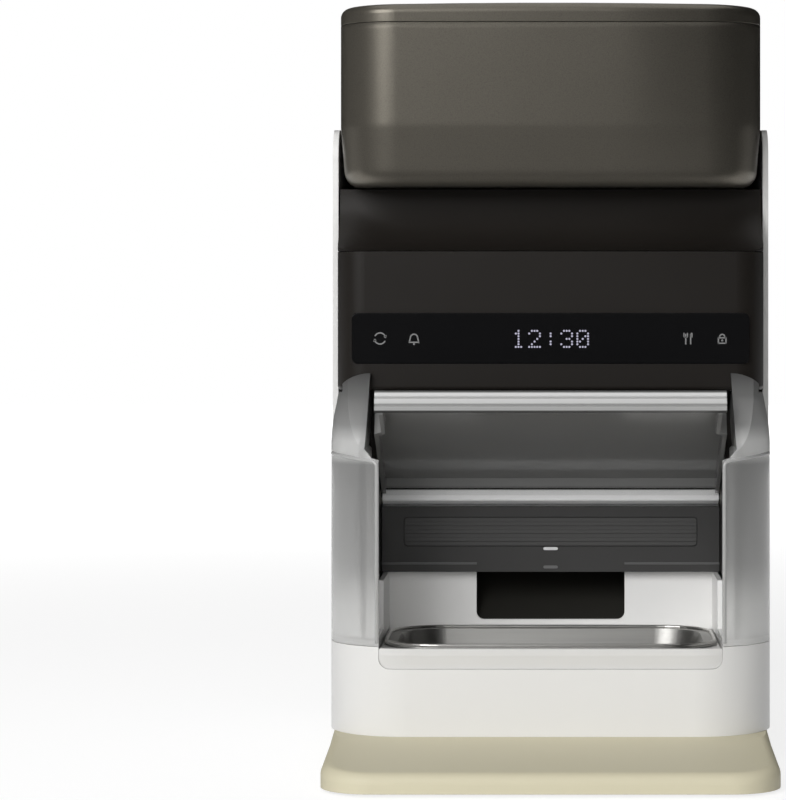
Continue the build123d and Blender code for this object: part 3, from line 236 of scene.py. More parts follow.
def hopper_paint(name, colour, edge):
    """Brown-grey metallic lacquer: fine flakes in a satin coat."""
    finish = Finish(name, specular_ior_level=0.3)
    flakes = finish.spots(2400.0)
    finish.feed("Base Color", finish.blend(flakes, toned(colour, 1.3), toned(colour, 0.85)))
    finish.feed("Metallic", finish.spread(flakes, 0.8, 0.6))
    return finish.wrap(0.31, 0.37, finish.noise(1800.0, 1.0), 0.012 * MM, edge)


# Share of the guard's height, and how light its colour is there: a painted highlight at the foot and the
# shoulder, painted shade towards the top.
GUARD_PAINTED_LIGHT = (
    (0.0, 1.12),
    (0.02, 1.12),
    (0.024, 0.98),
    (0.14, 0.88),
    (0.3, 0.62),
    (0.6, 0.5),
    (0.665, 0.48),
    (0.69, 1.0),
    (0.75, 0.95),
    (0.81, 0.52),
    (0.9, 0.36),
    (1.0, 0.14),
)


def frosted_clear_painted_light(name, colour, rough):
    """Frosted clear plastic, polished outside, with a painted highlight at the foot and the shoulder and
    painted shade towards the top.
    """
    finish = Finish(name, ior=1.25, transmission_weight=0.58, coat_weight=0.5, coat_roughness=0.12)
    height = finish.along((0, 0, 1), GUARD_LOW.z, GUARD_HIGH.z)
    finish.feed("Base Color", finish.shaded(height, GUARD_PAINTED_LIGHT, colour))
    smears = finish.noise(60.0, 4.0, 0.6)
    finish.feed("Roughness", finish.spread(smears, rough - 0.03, rough + 0.05))
    finish.feed("Normal", finish.bump(finish.noise(900.0, 1.0), 0.008 * MM, SOFT_EDGE))
    return finish.material


# Tilt of the lid as it stands open, and the clear heel of it in front of the hinge rail.
LID_OPEN = math.radians(25.2)
HEEL_DEPTH = 5.6 * MM
HEEL_HEIGHT = 3.4 * MM
HEEL_CLEAR = 0.93
FADE = 0.2 * MM


def tinted_clear(name, colour, opacity, rough):
    """Smoked clear plastic with faint handling marks; its heel in front of the hinge rail is clear."""
    finish = Finish(name, ior=1.49)
    tinted(finish, colour, 0.04)
    hinge = (PIN_LOW + PIN_HIGH) / 2
    back = Vector((0, math.cos(LID_OPEN), -math.sin(LID_OPEN)))
    up = Vector((0, math.sin(LID_OPEN), math.cos(LID_OPEN)))
    heel_start = hinge.dot(back) - HEEL_DEPTH
    heel_top = hinge.dot(up) + HEEL_HEIGHT
    heel = finish.along(back, heel_start - FADE, heel_start) * finish.along(up, heel_top + FADE, heel_top)
    smoke = finish.spread(finish.noise(20.0, 2.0), opacity - 0.02, opacity + 0.02)
    finish.feed("Alpha", smoke * (1.0 - HEEL_CLEAR * heel))
    smears = finish.noise(70.0, 5.0, 0.7)
    finish.feed("Roughness", finish.spread(smears, rough, rough + 0.08))
    finish.feed("Normal", finish.bump(finish.noise(55.0, 2.0), 0.02 * MM, SOFT_EDGE))
    return finish.material


# Share of the front rail's height, and how light its colour is there: painted highlights on the flutes,
# painted shade in the grooves and at the top and bottom edges.
RAIL_PAINTED_LIGHT = (
    (0.0, 0.1),
    (0.1, 0.12),
    (0.14, 0.5),
    (0.33, 0.52),
    (0.4, 0.48),
    (0.46, 0.74),
    (0.6, 0.8),
    (0.68, 0.62),
    (0.74, 0.86),
    (0.88, 0.9),
    (0.93, 0.2),
    (1.0, 0.12),
)


def painted_light_rail(name, colour, rough):
    """Pale plastic with painted highlights and painted shade in bands along the rail."""
    finish = Finish(name)
    height = finish.along((0, 0, 1), RAIL_LOW.z, RAIL_HIGH.z)
    finish.feed("Base Color", finish.shaded(height, RAIL_PAINTED_LIGHT, colour))
    return finish.wrap(rough - WANDER, rough + WANDER, finish.noise(FINE_GRAIN, 1.0), 0.01 * MM, SOFT_EDGE)


# Scale of brush lines along X, Y and Z: the smallest is the way that the lines run.
BRUSHED_ACROSS = (0.02, 1.0, 1.0)
BRUSHED_ROUND = (1.0, 0.05, 0.05)


def brushed_metal(name, colour, rough, stroke):
    """Metal with fine brush lines; stroke is their scale along X, Y and Z."""
    finish = Finish(name, metallic=1.0)
    lines = finish.noise(900.0, 3.0, 0.6, finish.stretched(stroke))
    finish.feed("Base Color", finish.blend(lines, toned(colour, 0.86), toned(colour, 1.08)))
    finish.feed("Roughness", finish.spread(lines, rough - 0.06, rough + 0.08))
    finish.feed("Normal", finish.bump(lines, 0.01 * MM))
    return finish.material


def cut_metal(name, colour, rough):
    """Turned or plated metal with a faint mottle."""
    finish = Finish(name, metallic=1.0)
    tinted(finish, colour, 0.08, 160.0)
    return finish.wrap(rough - WANDER, rough + WANDER, finish.noise(1200.0, 2.0), 0.008 * MM)


def rubber(name, colour):
    """Matt rubber with a fine pebble."""
    finish = Finish(name, specular_ior_level=0.35)
    tinted(finish, colour, 0.1, 60.0)
    return finish.wrap(0.7, 0.85, finish.spots(1400.0), 0.04 * MM)


def solder_mask(name, colour):
    """Circuit board: green lacquer with paler copper tracks under it."""
    finish = Finish(name)
    bare, copper = (0, 0, 0, 1), (1, 1, 1, 1)
    layout = {"Vector": finish.place, "Scale": 130.0, "Mortar Size": 0.035}
    inks = {"Color1": bare, "Color2": bare, "Mortar": copper}
    tracks = finish.node("ShaderNodeTexBrick", {"offset": 0.35, "squash": 0.6}, {**layout, **inks})
    finish.feed("Base Color", finish.blend(tracks, colour, toned(colour, 2.1)))
    return finish.wrap(0.28, 0.4, finish.noise(700.0, 2.0), 0.02 * MM)


def wound_wire(name, colour):
    """Enamelled copper wire laid side by side."""
    finish = Finish(name, metallic=1.0)
    inputs = {"Vector": finish.place, "Scale": 500.0}
    turns = finish.node("ShaderNodeTexWave", {"bands_direction": "Z"}, inputs)
    finish.feed("Base Color", finish.blend(turns, toned(colour, 0.5), colour))
    return finish.wrap(0.25, 0.35, turns, 0.1 * MM)


def display_glass(name, colour):
    """Black polished lens with faint wiping marks."""
    finish = Finish(name)
    tinted(finish, colour, 0.1)
    smears = finish.noise(45.0, 5.0, 0.7, finish.stretched((0.3, 1.0, 1.0)))
    finish.feed("Roughness", finish.spread(smears, 0.06, 0.16))
    finish.feed("Normal", finish.bump(smears, 0.004 * MM, LENS_EDGE))
    return finish.material


def glowing(name, colour, strength):
    """Lit dots of the display, a little uneven in their light."""
    finish = Finish(name, emission_strength=strength, roughness=0.4)
    finish.feed("Base Color", finish.blend(finish.noise(900.0), (0.02, 0.02, 0.02), (0.05, 0.05, 0.05)))
    finish.feed("Emission Color", finish.blend(finish.noise(420.0, 1.0), toned(colour, 0.75), colour))
    return finish.material


def print_ink(name, colour):
    """Silk-screen ink with a slightly broken edge tone."""
    finish = Finish(name)
    tinted(finish, colour, 0.08, 500.0)
    return finish.wrap(0.4, 0.5, finish.noise(FINE_GRAIN), 0.005 * MM)


def dress(material, *nodes):
    """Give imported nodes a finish."""
    for node in nodes:
        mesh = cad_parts[node].data
        mesh.materials.clear()
        mesh.materials.append(material)


# ---- Mesh helpers ----------------------------------------------------------------------------
def piece_from(mesh_edit, name, material, body):
    """Turn a finished bmesh into a piece that rides on a body."""
    mesh = bpy.data.meshes.new(name)
    bmesh.ops.recalc_face_normals(mesh_edit, faces=mesh_edit.faces)
    mesh_edit.to_mesh(mesh)
    mesh_edit.free()
    mesh.materials.append(material)
    piece = bpy.data.objects.new(name, mesh)
    bpy.context.scene.collection.objects.link(piece)
    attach(piece, body)
    return piece


FACE_FRONT = Matrix.Rotation(math.pi / 2, 4, "X")


def add_coin(mesh_edit, centre, radius, depth, segments):
    """Flat round disc that faces the front."""
    bmesh.ops.create_cone(
        mesh_edit,
        cap_ends=True,
        segments=segments,
        radius1=radius,
        radius2=radius,
        depth=depth,
        matrix=Matrix.Translation(centre) @ FACE_FRONT,
    )


def add_slab(mesh_edit, centre, size, turn=0.0):
    """Flat oblong that faces the front, turned about Y."""
    placed = Matrix.Translation(centre) @ Matrix.Rotation(turn, 4, "Y") @ Matrix.Diagonal((*size, 1.0))
    bmesh.ops.create_cube(mesh_edit, size=1.0, matrix=placed)


ALONG_X = 0
ALONG_Y = 1
# Share of an edge's length that has to lie along the axis.
STRAIGHT = 0.99


def round_ends(mesh_edit, axis, offset, segments):
    """Bevel the edges that run along one axis."""
    edges = []
    for edge in mesh_edit.edges:
        run = edge.verts[1].co - edge.verts[0].co
        if abs(run[axis]) > STRAIGHT * run.length:
            edges.append(edge)
    bmesh.ops.bevel(
        mesh_edit, geom=edges, offset=offset, segments=segments, profile=0.5, affect="EDGES", material=-1
    )


def add_arc(mesh_edit, centre, radius, width, depth, start, sweep, steps):
    """Part of a flat ring that faces the front: a small oblong section spun about Y."""
    low, high = radius - width / 2, radius + width / 2
    corners = [(low, -depth / 2), (high, -depth / 2), (high, depth / 2), (low, depth / 2)]
    points = [mesh_edit.verts.new(centre + Vector((across, along, 0))) for across, along in corners]
    section = mesh_edit.faces.new(points)
    bmesh.ops.rotate(mesh_edit, cent=centre, matrix=Matrix.Rotation(start, 3, "Y"), verts=points)
    geometry = [section, *section.edges, *points]
    bmesh.ops.spin(mesh_edit, geom=geometry, cent=centre, axis=(0, 1, 0), angle=sweep, steps=steps)


# ---- Settings --------------------------------------------------------------------------------
def colour_setting(name, description, default):
    """Setting for a colour."""
    return bpy.props.FloatVectorProperty(
        name=name, description=description, default=default, size=3, min=0.0, max=1.0, subtype="COLOR"
    )


def length_setting(name, description, default):
    """Setting for a length in metres."""
    return bpy.props.FloatProperty(
        name=name, description=description, default=default, unit="LENGTH", subtype="DISTANCE"
    )


def power_setting(name, description, default):
    """Setting for the power of a lamp in watts."""
    return bpy.props.FloatProperty(name=name, description=description, default=default, unit="POWER")


class FeederColours(bpy.types.PropertyGroup):
    """Colours of the feeder's main surfaces."""

    shell: colour_setting("Shell", "White body and cheeks", (0.77, 0.765, 0.75))
    tray: colour_setting("Tray", "Cream paw tray", (0.64, 0.595, 0.435))
    front: colour_setting("Front", "Dark fascia and neck", (0.0138, 0.0117, 0.01))
    hopper: colour_setting("Hopper", "Brown-grey hopper lacquer", (0.153, 0.141, 0.1175))
    guard: colour_setting("Guards", "Frosted side guards", (0.88, 0.88, 0.87))
    lid: colour_setting("Lid", "Tinted bowl lid", (0.26, 0.26, 0.255))
    rail: colour_setting("Rails", "Pale rail along the bowl lid's front", (0.7, 0.7, 0.695))
    digits: colour_setting("Digits", "Light of the digits", (0.8, 0.78, 1.0))
    symbols: colour_setting("Symbols", "Ink of the key symbols", (0.2, 0.2, 0.2))


class FeederSizes(bpy.types.PropertyGroup):
    """Sizes of the pieces that are printed, lit or screwed on."""

    digit_pitch: length_setting("Dot pitch", "Distance between two dots of a digit", 1.3 * MM)
    digit_dot: length_setting("Dot radius", "Radius of one dot", 0.5 * MM)
    symbol_size: length_setting("Symbol size", "Height of a key symbol", 6.4 * MM)
    ink: length_setting("Ink thickness", "How far prints and dots stand proud", 0.12 * MM)


class FeederStudio(bpy.types.PropertyGroup):
    """Camera and lamps."""

    camera_back: length_setting("Camera distance", "From the feeder's middle to the camera", 1.527)
    camera_height: length_setting("Camera height", "Height of the level camera", 0.228)
    lens: bpy.props.FloatProperty(name="Lens", description="Focal length in millimetres", default=135.8)
    shift: bpy.props.FloatVectorProperty(
        name="Shift", description="Framing shift of the camera", default=(-0.197, -0.125), size=2
    )
    key: power_setting("Key lamp", "Power of the side lamp", 32.0)
    fill: power_setting("Front lamp", "Power of the front lamp", 17.0)
    sky: bpy.props.FloatProperty(
        name="Sky", description="Strength of the light all round", default=0.2, min=0.0
    )


# ---- Operators: finishes ---------------------------------------------------------------------
class FinishOperator:
    """What every finishing operator shares."""

    bl_options = {"REGISTER", "UNDO"}


class FEEDER_OT_shell(FinishOperator, bpy.types.Operator):
    """Finish the white body, the well, the bay walls, the back and the battery door"""

    bl_idname = "feeder.shell"
    bl_label = "White Shell"

    def execute(self, context):
        white = moulded_plastic("white_satin", context.scene.feeder_colours.shell, 0.32)
        dress(white, "body_shell", "rear_cover", "battery_cover")
        # The liner's white is raised above the shell's: painted light that makes up for the guards' shade.
        dress(moulded_plastic("white_liner_painted_light", (0.93, 0.925, 0.91), 0.3), "bay_liner")
        dress(moulded_plastic("white_well", (0.7, 0.695, 0.68), 0.36), "bowl_cradle")
        return {"FINISHED"}


class FEEDER_OT_tray(FinishOperator, bpy.types.Operator):
    """Finish the cream paw tray and its rubber feet"""

    bl_idname = "feeder.tray"
    bl_label = "Paw Tray"

    def execute(self, context):
        cream = moulded_plastic("cream_matt", context.scene.feeder_colours.tray, 0.55, 0.035 * MM, 1500.0)
        dress(cream, "foot_tray")
        dress(rubber("foot_rubber", (0.02, 0.02, 0.02)), "rubber_feet")
        return {"FINISHED"}


class FEEDER_OT_front(FinishOperator, bpy.types.Operator):
    """Finish the dark fascia, neck, bay frame, deck and sensor cover"""

    bl_idname = "feeder.front"
    bl_label = "Dark Front"

    def execute(self, context):
        dark = moulded_plastic("dark_satin", context.scene.feeder_colours.front, 0.42, specular_ior_level=0.3)
        dress(dark, "front_fascia", "neck_cover", "lid_frame", "dispenser_housing", "drum_base")
        dress(moulded_plastic("sensor_gloss", (0.066, 0.065, 0.064), 0.22), "sensor_bar")
        dress(moulded_plastic("window_gloss", (0.092, 0.091, 0.09), 0.16), "sensor_window")
        dress(moulded_plastic("chute_black", (0.021, 0.02, 0.017), 0.5), "chute")
        dress(display_glass("display_lens", (0.0058, 0.0058, 0.0062)), "display_window")
        return {"FINISHED"}


class FEEDER_OT_hopper(FinishOperator, bpy.types.Operator):
    """Finish the hopper, its lid and what is inside them"""

    bl_idname = "feeder.hopper"
    bl_label = "Hopper"

    def execute(self, context):
        lacquer = context.scene.feeder_colours.hopper
        dress(hopper_paint("tank_lacquer", lacquer, TANK_EDGE), "hopper_tank")
        dress(hopper_paint("lid_lacquer", lacquer, SOFT_EDGE), "hopper_lid")
        dress(moulded_plastic("funnel_satin", (0.05, 0.045, 0.038), 0.4), "hopper_funnel")
        dress(rubber("seal_silicone", (0.6, 0.6, 0.58)), "hopper_seal")
        dress(moulded_plastic("sachet_grey", (0.28, 0.28, 0.28), 0.45), "desiccant_box", "desiccant_cover")
        return {"FINISHED"}


class FEEDER_OT_clear_parts(FinishOperator, bpy.types.Operator):
    """Finish the clear side guards and the bowl lid with its rails"""

    bl_idname = "feeder.clear_parts"
    bl_label = "Guards and Bowl Lid"

    def execute(self, context):
        colours = context.scene.feeder_colours
        # The guards' colour holds painted highlights at foot and shoulder and painted shade at the top.
        dress(frosted_clear_painted_light("guard_frosted_painted_light", colours.guard, 0.42), "guard_right", "guard_left")
        dress(tinted_clear("lid_tint", colours.lid, 0.74, 0.1), "bowl_lid")
        # The front rail's colour holds painted highlights and painted shade in bands.
        dress(painted_light_rail("rail_painted_light", colours.rail, 0.16), "lid_front_rail")
        # The rear rail's near white is raised: painted light that makes up for the lid's shade.
        dress(moulded_plastic("rail_pale_painted_light", (0.95, 0.95, 0.945), 0.16), "lid_rear_rail")
        return {"FINISHED"}


class FEEDER_OT_bowl(FinishOperator, bpy.types.Operator):
    """Finish the pressed steel bowl"""

    bl_idname = "feeder.bowl"
    bl_label = "Steel Bowl"

    def execute(self, context):
        dress(brushed_metal("bowl_steel", (0.395, 0.39, 0.375), 0.4, BRUSHED_ACROSS), "bowl")
        return {"FINISHED"}


class FEEDER_OT_drives(FinishOperator, bpy.types.Operator):
    """Finish the gears, shafts, bearings, motors and the metering wheel"""

    bl_idname = "feeder.drives"
    bl_label = "Drives"

    def execute(self, context):
        nylon = moulded_plastic("gear_nylon", (0.66, 0.64, 0.57), 0.42)
        dress(nylon, "hinge_bushes", "lid_gear", "drum_bush", "rotor_gear")
        dress(cut_metal("pinion_brass", (0.72, 0.52, 0.22), 0.28), "lid_pinion", "rotor_pinion")
        dress(cut_metal("pin_steel", (0.6, 0.6, 0.6), 0.25), "lid_hinge_pins", "rotor_shaft")
        can = brushed_metal("motor_can", (0.5, 0.5, 0.5), 0.34, BRUSHED_ROUND)
        dress(can, "lid_motor", "dispenser_motor")
        dress(rubber("vane_silicone", (0.66, 0.64, 0.58)), "rotor", "stirrer")
        return {"FINISHED"}


class FEEDER_OT_power(FinishOperator, bpy.types.Operator):
    """Finish the boards, the reader coil, the battery box and the power inlet"""

    bl_idname = "feeder.power"
    bl_label = "Power and Boards"

    def execute(self, context):
        dress(solder_mask("board_green", (0.02, 0.1, 0.045)), "main_board", "display_board")
        dress(wound_wire("coil_copper", (0.6, 0.3, 0.14)), "rfid_antenna")
        dress(cut_metal("contact_nickel", (0.62, 0.6, 0.56), 0.22), "battery_contacts", "power_inlet")
        grey = moulded_plastic("inner_grey", (0.13, 0.13, 0.135), 0.5)
        dress(grey, "battery_box", "base_pan", "gearbox_cover")
        return {"FINISHED"}


# ---- Operators: new pieces -------------------------------------------------------------------
GLYPHS = {
    "1": ("..#..", ".##..", "..#..", "..#..", "..#..", "..#..", ".###."),
    "2": (".###.", "#...#", "....#", "...#.", "..#..", ".#...", "#####"),
    "3": (".###.", "#...#", "....#", "..##.", "....#", "#...#", ".###."),
    "0": (".###.", "#...#", "#..##", "#.#.#", "##..#", "#...#", ".###."),
    ":": (".....", "..#..", "..#..", ".....", "..#..", "..#..", "....."),
}
SHOWN_TIME = "12:30"
# Five columns of dots and the gap after them.
GLYPH_COLUMNS = 6
GLYPH_ROWS = 7
DOT_SEGMENTS = 10
DIGITS_ABOVE_MIDDLE = -0.2 * MM
DIGIT_GLOW = 0.62


class FEEDER_OT_digits(FinishOperator, bpy.types.Operator):
    """Add the lit dot digits of the display, which show a plain time"""

    bl_idname = "feeder.digits"
    bl_label = "Display Digits"

    def execute(self, context):
        sizes = context.scene.feeder_sizes
        middle = (LENS_LOW.z + LENS_HIGH.z) / 2 + DIGITS_ABOVE_MIDDLE
        centre_column = (len(SHOWN_TIME) * GLYPH_COLUMNS - 2) / 2
        centre_row = (GLYPH_ROWS - 1) / 2
        dots = bmesh.new()
        for number, sign in enumerate(SHOWN_TIME):
            for row, line in enumerate(GLYPHS[sign]):
                for column, mark in enumerate(line):
                    if mark == "#":
                        across = (number * GLYPH_COLUMNS + column - centre_column) * sizes.digit_pitch
                        up = middle + (centre_row - row) * sizes.digit_pitch
                        place = Vector((across, LENS_LOW.y, up))
                        add_coin(dots, place, sizes.digit_dot, sizes.ink, DOT_SEGMENTS)
        material = glowing("digit_light", context.scene.feeder_colours.digits, DIGIT_GLOW)
        piece_from(dots, "display_digits", material, "housing")
        return {"FINISHED"}


# How far from the lens's middle each symbol stands.
KEY_PLACES = {"reset": -82.9 * MM, "bell": -66.4 * MM, "serving": 66.8 * MM, "lock": 83.4 * MM}


class FEEDER_OT_symbols(FinishOperator, bpy.types.Operator):
    """Add the four printed symbols of the touch keys"""

    bl_idname = "feeder.symbols"
    bl_label = "Key Symbols"

    def execute(self, context):
        sizes = context.scene.feeder_sizes
        half, ink = sizes.symbol_size / 2, sizes.ink
        line = half * 0.2
        middle = (LENS_LOW.z + LENS_HIGH.z) / 2
        marks = bmesh.new()

        def place(key, across, up):
            """Point of a symbol, in half heights from its middle."""
            return Vector((KEY_PLACES[key] + across * half, LENS_LOW.y, middle + up * half))

        sweep = math.radians(150)
        for start in (math.radians(25), math.radians(205)):
            add_arc(marks, place("reset", 0, 0), half * 0.85, line, ink, start, sweep, 14)
        tip = (line * 2.2, ink, line)
        for side in (1, -1):
            add_slab(marks, place("reset", side * 0.8, side * 0.32), tip, math.radians(-35))

        add_arc(marks, place("bell", 0, 0.1), half * 0.55, line, ink, math.pi, math.pi, 12)
        for side in (-1, 1):
            lean = math.radians(side * -12)
            add_slab(marks, place("bell", side * 0.62, -0.2), (line, ink, half * 0.7), lean)
        add_slab(marks, place("bell", 0, -0.58), (half * 1.6, ink, line))
        add_coin(marks, place("bell", 0, -0.85), line * 0.8, ink, DOT_SEGMENTS)

        for across in (-0.35, 0.4):
            add_slab(marks, place("serving", across, -0.1), (line, ink, half * 1.6))
        for across in (-0.62, -0.08):
            add_slab(marks, place("serving", across, 0.5), (line * 0.8, ink, half * 0.7))
        add_slab(marks, place("serving", -0.35, 0.2), (half * 0.62, ink, line * 0.8))
        add_slab(marks, place("serving", 0.55, 0.5), (line * 1.4, ink, half * 0.7))

        for up in (-0.72, 0.1):
            add_slab(marks, place("lock", 0, up), (half * 1.3, ink, line))
        for across in (-0.58, 0.58):
            add_slab(marks, place("lock", across, -0.31), (line, ink, half * 0.9))
        add_arc(marks, place("lock", 0, 0.25), half * 0.38, line, ink, math.pi, math.pi, 10)
        add_coin(marks, place("lock", 0, -0.3), line * 0.8, ink, DOT_SEGMENTS)

        material = print_ink("symbol_ink", context.scene.feeder_colours.symbols)
        piece_from(marks, "key_symbols", material, "housing")
        return {"FINISHED"}


# Name, height and shade of grey of each mark; the fainter lower one is a painted reflection of the dash.
MARKS = (("sensor_mark", 100.9 * MM, 0.75), ("mark_painted_reflection", 91.5 * MM, 0.16))
MARK_LENGTH = 7.4 * MM
MARK_WIDTH = 1.5 * MM
MARK_ROUND = MARK_WIDTH * 0.49


class FEEDER_OT_sensor_mark(FinishOperator, bpy.types.Operator):
    """Add the short pale dash under the sensor window and, below it, a fainter dash that is a painted
    reflection of it
    """

    bl_idname = "feeder.sensor_mark"
    bl_label = "Sensor Marks"

    def execute(self, context):
        ink = context.scene.feeder_sizes.ink
        for name, height, shade in MARKS:
            dash = bmesh.new()
            add_slab(dash, Vector((0, SENSOR_LOW.y, height)), (MARK_LENGTH, ink, MARK_WIDTH))
            round_ends(dash, ALONG_Y, MARK_ROUND, 5)
            material = print_ink(f"{name}_ink", (shade, shade, shade))
            piece_from(dash, name, material, "housing")
        return {"FINISHED"}


TRIM_HEIGHT = 93.3 * MM
TRIM_SIZE = (48.6 * MM, 0.7 * MM, 1.3 * MM)
TRIM_ROUND = 0.25 * MM


class FEEDER_OT_sensor_trim(FinishOperator, bpy.types.Operator):
    """Add the thin raised line along the foot of the sensor cover, at both sides of the mouth"""

    bl_idname = "feeder.sensor_trim"
    bl_label = "Sensor Trim"

    def execute(self, context):
        line = bmesh.new()
        for side in (-1, 1):
            middle = side * (SENSOR_HIGH.x - TRIM_SIZE[0] / 2)
            add_slab(line, Vector((middle, SENSOR_LOW.y, TRIM_HEIGHT)), TRIM_SIZE)
        round_ends(line, ALONG_X, TRIM_ROUND, 2)
        gloss = moulded_plastic("trim_gloss", (0.13, 0.13, 0.13), 0.2, edge=None)
        piece_from(line, "sensor_trim", gloss, "housing")
        return {"FINISHED"}


# The bead climbs the guard's inner edge, rounds the corner and rises a little along the shoulder.
BEAD_RADIUS = 1.0 * MM
BEAD_SUNK = 0.4 * MM
BEAD_EDGE = GUARD_LOW.x + 0.85 * MM
BEAD_FOOT = GUARD_LOW.z + 1.4 * MM
BEAD_SHOULDER = 150.4 * MM
BEAD_CORNER = 3.0 * MM
BEAD_END = 106.6 * MM
BEAD_RISE = 2.6 * MM
BEAD_STEPS = 12
BEAD_SEGMENTS = 12
WELL_AHEAD = 50 * MM


def guard_front(across, up):
    """Point a little inside the right guard's front, at a place in the front view."""
    start = Vector((across, GUARD_LOW.y - WELL_AHEAD, up))
    hit, point, *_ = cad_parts["guard_right"].ray_cast(start, Vector((0, 1, 0)))
    if not hit:
        raise RuntimeError("the guard has no front here")
    return point + Vector((0, BEAD_SUNK, 0))


def bead_route():
    """Up the guard's inner edge, round the corner and out along its shoulder."""
    route = [guard_front(BEAD_EDGE, BEAD_FOOT)]
    middle = Vector((BEAD_EDGE + BEAD_CORNER, 0, BEAD_SHOULDER - BEAD_CORNER))
    corner_steps = BEAD_STEPS // 2
    for step in range(corner_steps + 1):
        turn = step / corner_steps * math.pi / 2
        place = middle + BEAD_CORNER * Vector((-math.cos(turn), 0, math.sin(turn)))
        route.append(guard_front(place.x, place.z))
    for step in range(1, BEAD_STEPS + 1):
        share = math.sin(step / BEAD_STEPS * math.pi / 2)
        across = middle.x + (BEAD_END - middle.x) * share
        route.append(guard_front(across, BEAD_SHOULDER + BEAD_RISE * share))
    return route


def add_bead(mesh_edit, route, radius, closed=False):
    """Round bead along a route of points: a closed ring, or a bead with closed ends."""
    rings = []
    last = len(route) - 1
    for number, point in enumerate(route):
        before = route[number - 1] if number or closed else point
        after = route[(number + 1) % len(route)] if number < last or closed else point
        stand = (after - before).to_track_quat("Z", "Y").to_matrix().to_4x4()
        placed = Matrix.Translation(point) @ stand
        made = bmesh.ops.create_circle(mesh_edit, segments=BEAD_SEGMENTS, radius=radius, matrix=placed)
        rings.append(list({edge for vert in made["verts"] for edge in vert.link_edges}))
    for first, second in zip(rings, rings[1:]):
        bmesh.ops.bridge_loops(mesh_edit, edges=first + second)
    if closed:
        bmesh.ops.bridge_loops(mesh_edit, edges=rings[-1] + rings[0])
    else:
        for end in (rings[0], rings[-1]):
            bmesh.ops.contextual_create(mesh_edit, geom=end)


class FEEDER_OT_guard_beads(FinishOperator, bpy.types.Operator):
    """Run a polished bead along the inner edge and the shoulder of both guards"""

    bl_idname = "feeder.guard_beads"
    bl_label = "Guard Beads"

    def execute(self, context):
        clear = moulded_plastic("bead_clear", (0.4, 0.4, 0.395), 0.14, edge=None)
        for side, name in ((1, "guard_bead_right"), (-1, "guard_bead_left")):
            bead = bmesh.new()
            add_bead(bead, bead_route(), BEAD_RADIUS)
            bmesh.ops.scale(bead, verts=bead.verts, vec=(side, 1.0, 1.0))
            piece_from(bead, name, clear, "housing")
        return {"FINISHED"}


ROLL_RADIUS = 0.9 * MM
ROLL_CORNER = 26.1 * MM
ROLL_STEPS = 10


def rim_route():
    """Round the bowl's flange, a roll's radius in from its edge."""
    left, right = BOWL_LOW.x + ROLL_RADIUS, BOWL_HIGH.x - ROLL_RADIUS
    front, back = BOWL_LOW.y + ROLL_RADIUS, BOWL_HIGH.y - ROLL_RADIUS
    corners = ((right, back, 1, 1), (left, back, -1, 1), (left, front, -1, -1), (right, front, 1, -1))
    route = []
    for number, (x, y, across, along) in enumerate(corners):
        middle = Vector((x - across * ROLL_CORNER, y - along * ROLL_CORNER, BOWL_HIGH.z + ROLL_RADIUS * 0.5))
        for step in range(ROLL_STEPS + 1):
            turn = (number + step / ROLL_STEPS) * math.pi / 2
            route.append(middle + ROLL_CORNER * Vector((math.cos(turn), math.sin(turn), 0)))
    return route


class FEEDER_OT_bowl_rim(FinishOperator, bpy.types.Operator):
    """Roll the edge of the steel bowl's flange"""

    bl_idname = "feeder.bowl_rim"
    bl_label = "Bowl Rim"

    def execute(self, context):
        roll = bmesh.new()
        add_bead(roll, rim_route(), ROLL_RADIUS, closed=True)
        steel = brushed_metal("rim_steel", (0.6, 0.59, 0.57), 0.3, BRUSHED_ACROSS)
        piece_from(roll, "bowl_rim", steel, "bowl")
        return {"FINISHED"}


HEAD_RADIUS = 3.0 * MM
HEAD_HEIGHT = 2.4 * MM
RECESS_DEPTH = 1.3 * MM
REAR_SHANK = 1.4 * MM
TRAY_SHANK = 1.5 * MM
SCREW_SEGMENTS = 24
JOIN_WITHIN = 0.001 * MM
# Half length and half width of the cross, and how far its walls lean in.
CROSS_ARM = HEAD_RADIUS * 0.56
CROSS_HALF = HEAD_RADIUS * 0.15
CROSS_TAPER = 0.75


